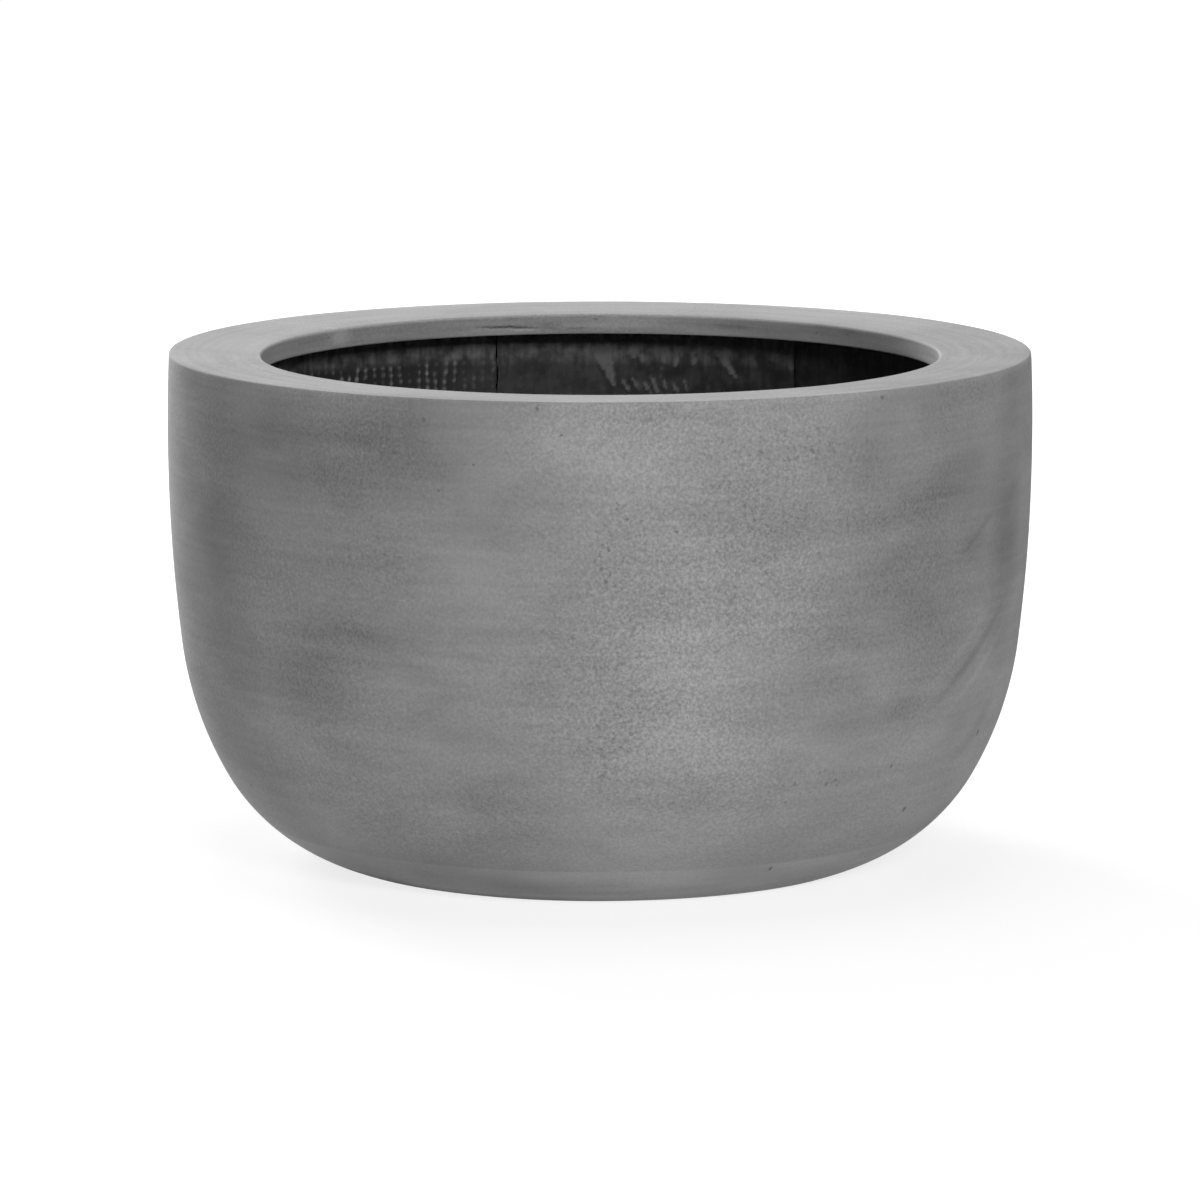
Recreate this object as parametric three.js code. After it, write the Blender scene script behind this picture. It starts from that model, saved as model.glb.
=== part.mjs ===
// A bowl planter of fibre-reinforced cement, built up in the order in which it is laid in its mould:
// a cast outer shell with a turned-in rim, a glass-fibre laminate that backs it, a dished disc and eight
// lapped strips of glass mesh that face the inside, and a rubber plug that pushes into the drain hole.
//
// Millimetres, +Z up. The origin is on the bowl's axis, on the plane that it stands on.
import * as THREE from "three";

// ---------------------------------------------------------------------------------- driving dimensions

// The outside. From the foot up, the wall is three arcs that run into each other. A slope is the angle
// between the wall and the horizontal where an arc begins.
const BOWL_DIAMETER = 450; // at the widest point of the wall
const BOWL_HEIGHT = 265;
const HEEL_RADIUS = 100;
const HEEL_SLOPE = 17.5;
const SHOULDER_RADIUS = 184;
const SHOULDER_SLOPE = 60.7;
const WALL_RADIUS = 933;
const WALL_SLOPE = 83.3;

// The rim: a flat ring turned inwards, which falls a little towards the mouth and ends in a short lip.
const RIM_WIDTH = 48;
const RIM_FALL = 2;
const RIM_EDGE_RADIUS = 1.2;
const MOUTH_EDGE_RADIUS = 1.5;
const LIP_DROP = 7; // how far the lip hangs below the underside of the rim
const LIP_CHAMFER = 1;

// The underside stands on a ring round a shallow recess, with the drain hole in the middle.
const FOOT_RING_WIDTH = 36;
const FOOT_RECESS_DEPTH = 1.5;
const FOOT_RECESS_SLOPE = 3; // how wide the step down to the ring is
const DRAIN_HOLE_DIAMETER = 28;

// The layers, from the outside in.
const SKIN = 4; // cast shell
const LAMINATE = 3; // glass fibre and resin behind it
const MESH = 1.2; // one layer of resin-soaked glass mesh
const BOND = 0.3; // the clear distance between two layers, and between the plug and its seat
const COVE_RADIUS = 8; // the laminate's inside corner, where the wall meets the rim

// The glass mesh.
const DISC_RISE = 15; // how far the floor disc turns up the wall
const STRIP_FOOT_RISE = 4; // how far above the floor the strips begin, lapped over the disc's edge
const STRIP_COUNT = 8;
const FIRST_STRIP_TURN = 10; // degrees from +X to where the first strip begins
const LAP_WIDTH = 20; // how far a strip runs over the next one
const JOGGLE = 5; // the length in which a strip steps up onto what it laps

// The drain plug, moulded in one piece of rubber.
const PLUG_HEAD_OVERHANG = 7; // how far the head reaches past the hole
const PLUG_HEAD_THICKNESS = 3;
const PLUG_EDGE_RADIUS = 1.5;
const PLUG_DOME_RISE = 3;
const PLUG_RIB_HEIGHT = 0.6; // the sealing ribs stand this far out of the stem
const PLUG_RIB_COUNT = 2;
const PLUG_RIB_WIDTH = 1.4;
const PLUG_STEM_WALL = 4; // round the blind hollow that lets the stem give
const PLUG_CORE_DEPTH = 5;

// How finely round shapes are cut.
const SEGMENTS = 72;
const PLUG_SEGMENTS = 28;
const BEND_STEPS = [5, 3, 2, 1]; // heel, shoulder, and the wall below and above its widest point
const CORNER_STEPS = 3;
const DOME_STEPS = 4;
const NEAREST_CORNER = 0.02; // a corner closer than this share of a side to a line's end is left out

// ------------------------------------------------------------------------------------- the wall's curve

// Profiles are drawn in the plane of the axis: x is the radius and y the height.
const V = (radius, height) => new THREE.Vector2(radius, height);
const rad = THREE.MathUtils.degToRad;
const drainRadius = DRAIN_HOLE_DIAMETER / 2;

// The direction that the outside of the wall faces where it has this slope.
const facing = (slope) => V(Math.sin(slope), -Math.cos(slope));

// Each arc starts where the one below it ends, with the same slope, so their centres follow from one
// another. The widest point is level with the centre of the topmost arc.
const arcs = [
  { radius: HEEL_RADIUS, slope: rad(HEEL_SLOPE) },
  { radius: SHOULDER_RADIUS, slope: rad(SHOULDER_SLOPE) },
  { radius: WALL_RADIUS, slope: rad(WALL_SLOPE) },
];
arcs[2].centre = V(BOWL_DIAMETER / 2 - WALL_RADIUS, 0);
for (const i of [1, 0]) {
  const above = arcs[i + 1];
  arcs[i].centre = above.centre.clone().addScaledVector(facing(above.slope), above.radius - arcs[i].radius);
}
const heelStart = arcs[0].centre.clone().addScaledVector(facing(arcs[0].slope), HEEL_RADIUS);
for (const arc of arcs) arc.centre.y -= heelStart.y;
const footRadius = heelStart.x;

// Every layer is bent at the same slopes, so that neighbouring faces stay parallel.
const topSlope = Math.acos((arcs[2].centre.y - BOWL_HEIGHT) / WALL_RADIUS);
const bends = [...arcs.map((arc) => arc.slope), Math.PI / 2, topSlope];
const slopes = BEND_STEPS.flatMap((steps, i) =>
  Array.from({ length: steps }, (_, k) => bends[i] + ((bends[i + 1] - bends[i]) * k) / steps),
);
slopes.push(topSlope);
slopes.sort((a, b) => a - b);

// The corners of the wall's line at this depth inside its outer face, from the foot up.
function wallCorners(depth) {
  return slopes.map((slope) => {
    const arc = slope < arcs[1].slope ? arcs[0] : slope < arcs[2].slope ? arcs[1] : arcs[2];
    return arc.centre.clone().addScaledVector(facing(slope), arc.radius - depth);
  });
}

// Places along that line are counted in corners from the foot up, so a place is the same at every depth.
function placeAt(depth, height) {
  const line = wallCorners(depth);
  const above = line.findIndex((corner) => corner.y >= height);
  const i = above < 0 ? line.length - 1 : Math.max(1, above);
  return i - 1 + (height - line[i - 1].y) / (line[i].y - line[i - 1].y);
}

// The line at a depth, from one place up to another.
function wallLine(depth, low, high) {
  const line = wallCorners(depth);
  const pointAt = (place) => {
    const i = Math.min(Math.floor(place), line.length - 2);
    return line[i].clone().lerp(line[i + 1], place - i);
  };
  const between = line.filter((_, i) => i > low + NEAREST_CORNER && i < high - NEAREST_CORNER);
  return [pointAt(low), ...between, pointAt(high)];
}

// Where the wall meets the flat floor at the same depth.
const floorCorner = (depth) => placeAt(depth, depth);

// An arc of a profile, its turns in degrees from the outward direction.
const arcLine = (centre, radius, from, to) =>
  Array.from({ length: CORNER_STEPS + 1 }, (_, k) => {
    const turn = rad(from + ((to - from) * k) / CORNER_STEPS);
    return V(centre.x + radius * Math.cos(turn), centre.y + radius * Math.sin(turn));
  });

// -------------------------------------------------------------------------------------- the rim's lines

const rimRadius = wallCorners(0).at(-1).x;
const mouthRadius = rimRadius - RIM_WIDTH;
const lipBack = mouthRadius + SKIN;

// Height of the rim's face, or of a layer under it, at a radius.
const rimHeight = (depth, radius) => BOWL_HEIGHT - depth - (RIM_FALL * (rimRadius - radius)) / RIM_WIDTH;

// Where the underside of the rim meets the wall in a sharp corner, and where it meets the lip.
const rimCorner = (depth) => placeAt(depth, rimHeight(depth, rimRadius - depth));
const rimEnd = (depth) => V(lipBack + BOND, rimHeight(depth, lipBack + BOND));

// The laminate's inner face and the layers on it turn the corner in coves that have one centre.
const laminateFace = SKIN + BOND + LAMINATE;
const coveHeight = rimHeight(laminateFace, rimRadius - laminateFace - COVE_RADIUS) - COVE_RADIUS;
const cove = placeAt(laminateFace, coveHeight);
const coveCentre = wallLine(laminateFace, 0, cove).at(-1);
coveCentre.x -= COVE_RADIUS;

// A layer's face from a place on the wall, round the cove and in under the rim to the back of the lip.
const linerLine = (depth, low) => [
  ...wallLine(depth, low, cove).slice(0, -1),
  ...arcLine(coveCentre, COVE_RADIUS + laminateFace - depth, 0, 90),
  rimEnd(depth),
];

// ------------------------------------------------------------------------------------------ solid makers

// A profile, counter-clockwise with radius to the right, turned right round the axis.
function revolved(profile, segments = SEGMENTS) {
  const onAxis = profile[0].x === 0 && profile.at(-1).x === 0;
  const geometry = new THREE.LatheGeometry(onAxis ? profile : [...profile, profile[0]], segments);
  return geometry.rotateX(Math.PI / 2);
}

// Turned layers have flat sides. This is how far out a side lies at a turn, as a share of the radius of
// its corners.
const sideTurn = (2 * Math.PI) / SEGMENTS;
function sideReach(turn) {
  const fromCorner = THREE.MathUtils.euclideanModulo(turn, sideTurn);
  return Math.cos(sideTurn / 2) / Math.cos(fromCorner - sideTurn / 2);
}

// A solid that goes part of the way round, with a profile of its own at each turn.
function swept(turns, profileAt) {
  const rings = turns.map(profileAt);
  const size = rings[0].length;
  const points = rings.flatMap((ring, i) =>
    ring.flatMap((point) => {
      const reach = point.x * sideReach(turns[i]);
      return [reach * Math.cos(turns[i]), reach * Math.sin(turns[i]), point.y];
    }),
  );
  const faces = [];
  for (let i = 0; i + 1 < turns.length; i++) {
    for (let j = 0; j < size; j++) {
      const [here, next] = [i * size + j, i * size + ((j + 1) % size)];
      faces.push(here, here + size, next + size, here, next + size, next);
    }
  }
  const lastRing = (turns.length - 1) * size;
  const startCap = THREE.ShapeUtils.triangulateShape(rings[0], []);
  const endCap = THREE.ShapeUtils.triangulateShape(rings.at(-1), []);
  for (const [a, b, c] of startCap) faces.push(a, b, c);
  for (const [a, b, c] of endCap) faces.push(lastRing + a, lastRing + c, lastRing + b);
  const geometry = new THREE.BufferGeometry();
  geometry.setAttribute("position", new THREE.Float32BufferAttribute(points, 3));
  geometry.setIndex(faces);
  return geometry;
}

const planter = new THREE.Group();

function addPart(name, geometry, material) {
  const mesh = new THREE.Mesh(geometry, material);
  mesh.name = name;
  planter.add(mesh);
}

// --------------------------------------------------------------------------------------- the outer shell

const cement = new THREE.MeshStandardMaterial({ color: "#8d8d8d", roughness: 0.85, metalness: 0 });

// Underside, wall, rim and lip are one casting of even thickness.
function outerShell() {
  const recessRadius = footRadius - FOOT_RING_WIDTH - FOOT_RECESS_SLOPE;
  const rimEdge = V(rimRadius - RIM_EDGE_RADIUS, BOWL_HEIGHT - RIM_EDGE_RADIUS);
  const mouthEdge = V(mouthRadius + MOUTH_EDGE_RADIUS, 0);
  mouthEdge.y = rimHeight(0, mouthEdge.x) - MOUTH_EDGE_RADIUS;
  const lipFoot = rimHeight(SKIN, lipBack) - LIP_DROP;
  return [
    V(drainRadius, FOOT_RECESS_DEPTH),
    V(recessRadius, FOOT_RECESS_DEPTH),
    V(footRadius - FOOT_RING_WIDTH, 0),
    ...wallLine(0, 0, placeAt(0, rimEdge.y)).slice(0, -1),
    ...arcLine(rimEdge, RIM_EDGE_RADIUS, 0, 90),
    ...arcLine(mouthEdge, MOUTH_EDGE_RADIUS, 90, 180),
    V(mouthRadius, lipFoot + LIP_CHAMFER),
    V(mouthRadius + LIP_CHAMFER, lipFoot),
    V(lipBack - LIP_CHAMFER, lipFoot),
    V(lipBack, lipFoot + LIP_CHAMFER),
    V(lipBack, rimHeight(SKIN, lipBack)),
    ...wallLine(SKIN, floorCorner(SKIN), rimCorner(SKIN)).reverse(),
    V(drainRadius, SKIN),
  ];
}
addPart("outer_shell", revolved(outerShell()), cement);

// ------------------------------------------------------------------------------- the glass-fibre laminate

const resin = new THREE.MeshStandardMaterial({ color: "#2b2b2b", roughness: 0.6, metalness: 0 });

// It backs the floor, the wall and the underside of the rim, and ends against the back of the lip.
function backingLaminate() {
  const depth = SKIN + BOND;
  return [
    V(drainRadius, depth),
    ...wallLine(depth, floorCorner(depth), rimCorner(depth)),
    rimEnd(depth),
    ...linerLine(laminateFace, floorCorner(laminateFace)).reverse(),
    V(drainRadius, laminateFace),
  ];
}
addPart("backing_laminate", revolved(backingLaminate()), resin);

// -------------------------------------------------------------------------------------- the mesh facing

const glassMesh = new THREE.MeshStandardMaterial({ color: "#333333", roughness: 0.7, metalness: 0 });

const meshStart = laminateFace + BOND; // the outer face of the first layer of mesh
const floorTop = meshStart + MESH;
const layerPitch = MESH + BOND;
const discEdge = placeAt(meshStart, floorTop + DISC_RISE);

// The floor disc lies on the laminate and turns up the wall. The plug's head covers the middle of its face.
function floorMeshDisc() {
  return [
    V(drainRadius, meshStart),
    ...wallLine(meshStart, floorCorner(meshStart), discEdge),
    ...wallLine(floorTop, floorCorner(floorTop), discEdge).reverse(),
    V(drainRadius + PLUG_HEAD_OVERHANG + BOND, floorTop),
    V(drainRadius, floorTop),
  ];
}
addPart("floor_mesh_disc", revolved(floorMeshDisc()), glassMesh);

// A wall strip begins on top of the disc's edge, steps down onto the laminate, and runs up the wall and in
// under the rim. Where it laps the strip beside it, all of it lies a layer higher.
const stripFoot = placeAt(floorTop, floorTop + STRIP_FOOT_RISE);
const stepFoot = placeAt(meshStart, floorTop + DISC_RISE + BOND);
const stepTop = placeAt(meshStart, floorTop + DISC_RISE + BOND + JOGGLE);
function stripProfile(layersUp) {
  const face = (depth) => [...wallLine(depth + layerPitch, stripFoot, stepFoot), ...linerLine(depth, stepTop)];
  const outside = meshStart + layersUp * layerPitch;
  return [...face(outside), ...face(outside + MESH).reverse()];
}

const turnOf = (length) => length / (BOWL_DIAMETER / 2 - meshStart);
const stripTurn = (2 * Math.PI) / STRIP_COUNT;
const sideCorners = Array.from({ length: 2 * SEGMENTS }, (_, k) => k * sideTurn);

for (let strip = 0; strip < STRIP_COUNT; strip++) {
  const start = rad(FIRST_STRIP_TURN) + strip * stripTurn;
  const raised = start + stripTurn - turnOf(BOND);
  const rising = raised - turnOf(JOGGLE);
  const end = start + stripTurn + turnOf(LAP_WIDTH);
  const ends = [start, rising, raised, end];
  const corners = sideCorners.filter(
    (turn) => turn > start && turn < end && ends.every((other) => Math.abs(turn - other) > turnOf(BOND)),
  );
  const turns = [...ends, ...corners].sort((a, b) => a - b);
  const layersUp = (turn) => THREE.MathUtils.clamp((turn - rising) / (raised - rising), 0, 1);
  addPart(`wall_mesh_strip_${strip + 1}`, swept(turns, (turn) => stripProfile(layersUp(turn))), glassMesh);
}

// ---------------------------------------------------------------------------------------- the drain plug

const rubber = new THREE.MeshStandardMaterial({ color: "#161616", roughness: 0.65, metalness: 0 });

// Its head lies on the floor, and its ribbed stem fills the hole down to the recess in the underside.
function drainPlug() {
  const seat = floorTop + BOND;
  const stemFoot = FOOT_RECESS_DEPTH + BOND;
  const ribRadius = drainRadius - BOND;
  const stemRadius = ribRadius - PLUG_RIB_HEIGHT;
  const coreRadius = stemRadius - PLUG_STEM_WALL;
  const headRadius = drainRadius + PLUG_HEAD_OVERHANG;
  const headTop = seat + PLUG_HEAD_THICKNESS;
  const headEdge = V(headRadius - PLUG_EDGE_RADIUS, headTop - PLUG_EDGE_RADIUS);
  const ribPitch = (seat - stemFoot) / (PLUG_RIB_COUNT + 1);
  const ribs = Array.from({ length: PLUG_RIB_COUNT }, (_, k) => {
    const middle = stemFoot + (k + 1) * ribPitch;
    return [
      V(stemRadius, middle - PLUG_RIB_WIDTH / 2),
      V(ribRadius, middle),
      V(stemRadius, middle + PLUG_RIB_WIDTH / 2),
    ];
  }).flat();
  const dome = Array.from({ length: DOME_STEPS }, (_, k) => {
    const turn = (k / DOME_STEPS) * (Math.PI / 2);
    return V(drainRadius * Math.cos(turn), headTop + PLUG_DOME_RISE * Math.sin(turn));
  });
  return [
    V(0, stemFoot + PLUG_CORE_DEPTH),
    V(coreRadius, stemFoot + PLUG_CORE_DEPTH),
    V(coreRadius, stemFoot),
    V(stemRadius, stemFoot),
    ...ribs,
    V(stemRadius, seat),
    V(headRadius, seat),
    ...arcLine(headEdge, PLUG_EDGE_RADIUS, 0, 90),
    ...dome,
    V(0, headTop + PLUG_DOME_RISE),
  ];
}
addPart("drain_plug", revolved(drainPlug(), PLUG_SEGMENTS), rubber);

export default planter;
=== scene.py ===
import math
import bmesh
import bpy
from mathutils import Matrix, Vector


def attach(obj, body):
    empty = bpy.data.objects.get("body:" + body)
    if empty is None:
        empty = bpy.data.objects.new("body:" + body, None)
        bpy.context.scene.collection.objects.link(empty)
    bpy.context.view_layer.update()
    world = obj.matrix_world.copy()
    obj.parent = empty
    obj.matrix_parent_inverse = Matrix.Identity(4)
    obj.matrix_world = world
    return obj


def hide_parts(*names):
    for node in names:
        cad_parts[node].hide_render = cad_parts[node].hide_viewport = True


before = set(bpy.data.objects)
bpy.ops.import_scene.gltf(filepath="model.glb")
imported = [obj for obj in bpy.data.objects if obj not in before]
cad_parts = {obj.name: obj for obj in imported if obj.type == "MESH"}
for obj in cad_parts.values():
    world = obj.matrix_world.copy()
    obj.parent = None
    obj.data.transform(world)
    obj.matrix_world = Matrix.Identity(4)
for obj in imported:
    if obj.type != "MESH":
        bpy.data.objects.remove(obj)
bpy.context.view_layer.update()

MM = 0.001

# ---------------------------------------------------------------------------------------------------
# The outer shell: fibre-reinforced cement, cast about 4 mm thick against a mould as one skin with its
# rim and lip, and sanded by hand. It carries everything else.

# The wall is three arcs that run into each other. A slope is the angle between the wall and the
# horizontal where an arc begins. Lengths are in millimetres until a mesh is made of them.
BOWL_DIAMETER = 450
BOWL_HEIGHT = 265
WALL_ARCS = [  # radius and first slope, from the foot up
    (100, 17.5),
    (184, 60.7),
    (933, 83.3),
]
RIM_WIDTH = 48
RIM_FALL = 2  # the rim's face falls this much towards the mouth
RIM_EDGE_RADIUS = 1.2
MOUTH_EDGE_RADIUS = 1.5
LIP_DROP = 7
LIP_FOOT_RADIUS = 1
FOOT_RING_WIDTH = 36
FOOT_RECESS_DEPTH = 1.5
FOOT_RECESS_SLOPE = 3
DRAIN_HOLE_RADIUS = 14
DRAIN_EDGE_CHAMFER = 0.6
SKIN = 4


def facing(slope):
    """The direction that the outside of the wall faces where it has this slope."""
    return Vector((math.sin(slope), -math.cos(slope)))


arcs = [{"radius": radius, "slope": math.radians(slope)} for radius, slope in WALL_ARCS]
arcs[2]["centre"] = Vector((BOWL_DIAMETER / 2 - arcs[2]["radius"], 0))
for lower, upper in ((arcs[1], arcs[2]), (arcs[0], arcs[1])):
    lower["centre"] = upper["centre"] + facing(upper["slope"]) * (upper["radius"] - lower["radius"])
ground = (arcs[0]["centre"] + facing(arcs[0]["slope"]) * arcs[0]["radius"]).y
for arc in arcs:
    arc["centre"].y -= ground


def wall_slope(depth, height):
    """The slope of the wall's line at this depth inside its outer face, where it is this high."""
    for arc in reversed(arcs):
        slope = math.acos(min(1, (arc["centre"].y - height) / (arc["radius"] - depth)))
        if slope >= arc["slope"]:
            return slope
    return arcs[0]["slope"]


def wall_point(depth, slope):
    arc = [arc for arc in arcs if slope >= arc["slope"] - 1e-9][-1]
    return arc["centre"] + facing(slope) * (arc["radius"] - depth)


def spaced(line, step):
    """The line's corners and points between them, no more than a step apart."""
    points = [line[0]]
    for start, end in zip(line, line[1:]):
        count = max(1, round((end - start).length / step))
        points += [start.lerp(end, k / count) for k in range(1, count + 1)]
    return points


def wall_line(depth, low, high, step):
    """The wall's line at a depth, from one height up to another."""
    slope, last = wall_slope(depth, low), wall_slope(depth, high)
    line = [wall_point(depth, slope)]
    while True:
        radius = [arc["radius"] for arc in arcs if slope >= arc["slope"] - 1e-9][-1] - depth
        slope += step / radius
        if slope > last - 0.3 * step / radius:
            return line + [wall_point(depth, last)]
        line.append(wall_point(depth, slope))


def arc_line(centre, radius, start, end, steps):
    turns = [math.radians(start + (end - start) * k / steps) for k in range(steps + 1)]
    return [centre + Vector((math.cos(turn), math.sin(turn))) * radius for turn in turns]


foot_radius = wall_point(0, arcs[0]["slope"]).x
rim_radius = wall_point(0, wall_slope(0, BOWL_HEIGHT)).x
mouth_radius = rim_radius - RIM_WIDTH
lip_back = mouth_radius + SKIN


def rim_height(depth, radius):
    """Height of the rim's face, or of a layer under it, at a radius."""
    return BOWL_HEIGHT - depth - RIM_FALL * (rim_radius - radius) / RIM_WIDTH


def rim_corner_height(depth):
    """Where the underside of the rim meets the wall."""
    height = rim_height(depth, rim_radius - depth)
    for _ in range(4):
        height = rim_height(depth, wall_point(depth, wall_slope(depth, height)).x)
    return height


def floor_corner(depth):
    """Where the wall meets the flat floor at the same depth."""
    return wall_point(depth, wall_slope(depth, depth))


WALL_STEP = 3
RIM_STEP = 4
LIP_STEP = 0.5
FOOT_STEP = 7
HIDDEN_STEP = 12
EDGE_STEPS = 6
rim_edge = Vector((rim_radius - RIM_EDGE_RADIUS, BOWL_HEIGHT - RIM_EDGE_RADIUS))
mouth_edge = Vector((mouth_radius + MOUTH_EDGE_RADIUS, 0))
mouth_edge.y = rim_height(0, mouth_edge.x) - MOUTH_EDGE_RADIUS
lip_foot = rim_height(SKIN, lip_back) - LIP_DROP
recess_radius = foot_radius - FOOT_RING_WIDTH - FOOT_RECESS_SLOPE
rim_face = spaced([
    rim_edge + Vector((0, RIM_EDGE_RADIUS)),
    mouth_edge + Vector((0, MOUTH_EDGE_RADIUS)),
], RIM_STEP)
lip_face = spaced([
    mouth_edge - Vector((MOUTH_EDGE_RADIUS, 0)),
    Vector((mouth_radius, lip_foot + LIP_FOOT_RADIUS)),
], LIP_STEP)
lip_foot_corners = [
    Vector((radius, lip_foot + LIP_FOOT_RADIUS))
    for radius in (mouth_radius + LIP_FOOT_RADIUS, lip_back - LIP_FOOT_RADIUS)
]
shell_profile = [
    Vector((DRAIN_HOLE_RADIUS, FOOT_RECESS_DEPTH + DRAIN_EDGE_CHAMFER)),
    *spaced([Vector((DRAIN_HOLE_RADIUS + DRAIN_EDGE_CHAMFER, FOOT_RECESS_DEPTH)),
             Vector((recess_radius, FOOT_RECESS_DEPTH))], HIDDEN_STEP),
    *spaced([Vector((foot_radius - FOOT_RING_WIDTH, 0)), Vector((foot_radius - 1, 0))], FOOT_STEP),
    *wall_line(0, 0.3, rim_edge.y, WALL_STEP)[:-1],
    *arc_line(rim_edge, RIM_EDGE_RADIUS, 0, 90, EDGE_STEPS),
    *rim_face[1:-1],
    *arc_line(mouth_edge, MOUTH_EDGE_RADIUS, 90, 180, EDGE_STEPS),
    *lip_face[1:-1],
    *arc_line(lip_foot_corners[0], LIP_FOOT_RADIUS, 180, 270, 3),
    *arc_line(lip_foot_corners[1], LIP_FOOT_RADIUS, 270, 360, 3),
    Vector((lip_back, rim_height(SKIN, lip_back))),
    *wall_line(SKIN, SKIN, rim_corner_height(SKIN), HIDDEN_STEP)[::-1],
    Vector((DRAIN_HOLE_RADIUS, SKIN)),
    Vector((DRAIN_HOLE_RADIUS, FOOT_RECESS_DEPTH + DRAIN_EDGE_CHAMFER)),
]


def add_node(tree, kind, inputs=(), output=0, **settings):
    """Adds a node with these settings. Its inputs, by name or number, are values or other outputs."""
    node = tree.nodes.new(kind)
    for name, value in settings.items():
        setattr(node, name, value)
    for name, value in dict(inputs).items():
        if isinstance(value, bpy.types.NodeSocket):
            tree.links.new(value, node.inputs[name])
        else:
            node.inputs[name].default_value = value
    return node.outputs[output]


def new_tree(name, **inputs):
    """An empty Geometry Nodes tree with these inputs. Returns it and its input node."""
    tree = bpy.data.node_groups.new(name, "GeometryNodeTree")
    tree.interface.new_socket("Geometry", in_out="OUTPUT", socket_type="NodeSocketGeometry")
    tree.interface.new_socket("Geometry", in_out="INPUT", socket_type="NodeSocketGeometry")
    for label, kind in inputs.items():
        tree.interface.new_socket(label.replace("_", " "), in_out="INPUT", socket_type="NodeSocket" + kind)
    return tree, tree.nodes.new("NodeGroupInput").outputs


WELD = 0.01  # points nearer than this are one


def end_tree(tree, geometry, material, sharp=35):
    """Closes a tree: joins its seams, shades all but its sharp edges smooth and gives it its material."""
    merged = add_node(tree, "GeometryNodeMergeByDistance", {"Geometry": geometry, "Distance": WELD * MM})
    angle = add_node(tree, "GeometryNodeInputMeshEdgeAngle")
    soft = add_node(tree, "ShaderNodeMath", {0: angle, 1: math.radians(sharp)}, operation="LESS_THAN")
    smooth = add_node(tree, "GeometryNodeSetShadeSmooth", {0: merged, "Shade Smooth": True}, domain="FACE")
    creased = add_node(tree, "GeometryNodeSetShadeSmooth", {0: smooth, "Shade Smooth": soft}, domain="EDGE")
    real = add_node(tree, "GeometryNodeRealizeInstances", {0: creased})
    dressed = add_node(tree, "GeometryNodeSetMaterial", {0: real, "Material": material})
    tree.links.new(dressed, tree.nodes.new("NodeGroupOutput").inputs[0])


def ring_grid(tree, profile, columns, first_turn, last_turn):
    """Copies of a profile side by side round the axis, with faces between. Its rows follow the profile's
    points. Returns the geometry and the column, row and turn of each of its points."""
    rows = add_node(tree, "GeometryNodeAttributeDomainSize", {0: profile}, "Point Count", component="MESH")
    grid = add_node(tree, "GeometryNodeMeshGrid", {"Vertices X": columns, "Vertices Y": rows})
    index = add_node(tree, "GeometryNodeInputIndex")
    column = add_node(tree, "FunctionNodeIntegerMath", {0: index, 1: rows}, operation="DIVIDE_FLOOR")
    row = add_node(tree, "FunctionNodeIntegerMath", {0: index, 1: rows}, operation="MODULO")
    last = add_node(tree, "FunctionNodeIntegerMath", {0: columns, 1: 1}, operation="SUBTRACT")
    turn = add_node(tree, "ShaderNodeMapRange", {0: column, 2: last, 3: first_turn, 4: last_turn})
    position = add_node(tree, "GeometryNodeInputPosition")
    point = add_node(tree, "GeometryNodeSampleIndex", {"Geometry": profile, "Value": position, "Index": row},
                     data_type="FLOAT_VECTOR")
    place = add_node(tree, "ShaderNodeVectorRotate", {"Vector": point, "Angle": turn}, rotation_type="Z_AXIS")
    return add_node(tree, "GeometryNodeSetPosition", {0: grid, "Position": place}), column, row, turn


def along_normals(tree, distance):
    normal = add_node(tree, "GeometryNodeInputNormal")
    return add_node(tree, "ShaderNodeVectorMath", {0: normal, "Scale": distance}, operation="SCALE")


def profile_mesh(name, profile):
    """A profile's points as an object, radius along X and height along Z."""
    mesh = bpy.data.meshes.new(name)
    mesh.from_pydata([(point.x * MM, 0, point.y * MM) for point in profile], [], [])
    piece = bpy.data.objects.new(name, mesh)
    bpy.context.scene.collection.objects.link(piece)
    return piece


def made_by(piece, tree, **inputs):
    """Runs a tree on the piece, whose result becomes its plain mesh. Open ends are closed."""
    modifier = piece.modifiers.new(tree.name, "NODES")
    modifier.node_group = tree
    for label, value in inputs.items():
        modifier[tree.interface.items_tree[label.replace("_", " ")].identifier] = value
    start = piece.data
    evaluated = piece.evaluated_get(bpy.context.evaluated_depsgraph_get())
    mesh = bpy.data.meshes.new_from_object(evaluated)
    piece.modifiers.remove(modifier)
    piece.data = mesh
    mesh.name = piece.name
    bpy.data.meshes.remove(start)
    work = bmesh.new()
    work.from_mesh(mesh)
    open_edges = [edge for edge in work.edges if edge.is_boundary]
    bmesh.ops.holes_fill(work, edges=open_edges, sides=0)
    work.to_mesh(mesh)
    work.free()
    return piece


def linear(code):
    """A colour written as sRGB hex, as the shader's sockets take it."""
    parts = [int(code[k:k + 2], 16) / 255 for k in (1, 3, 5)]
    return (*[c / 12.92 if c <= 0.04045 else ((c + 0.055) / 1.055) ** 2.4 for c in parts], 1)


def new_material(name, **sockets):
    """A material with these values on its shader's sockets. Returns it, its tree and its shader."""
    material = bpy.data.materials.new(name)
    material.use_nodes = True
    shader = material.node_tree.nodes["Principled BSDF"]
    for label, value in sockets.items():
        shader.inputs[label.replace("_", " ")].default_value = value
    return material, material.node_tree, shader


def mottling(tree, place, size, detail, spread, values):
    """Noise with spots of this size. It goes from one value to the other over this spread of the noise."""
    noise = add_node(tree, "ShaderNodeTexNoise", {
        "Vector": place, "Scale": 1 / (size * MM), "Detail": detail})
    return add_node(tree, "ShaderNodeMapRange", {
        0: noise, 1: spread[0], 2: spread[1], 3: values[0], 4: values[1]})


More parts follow.
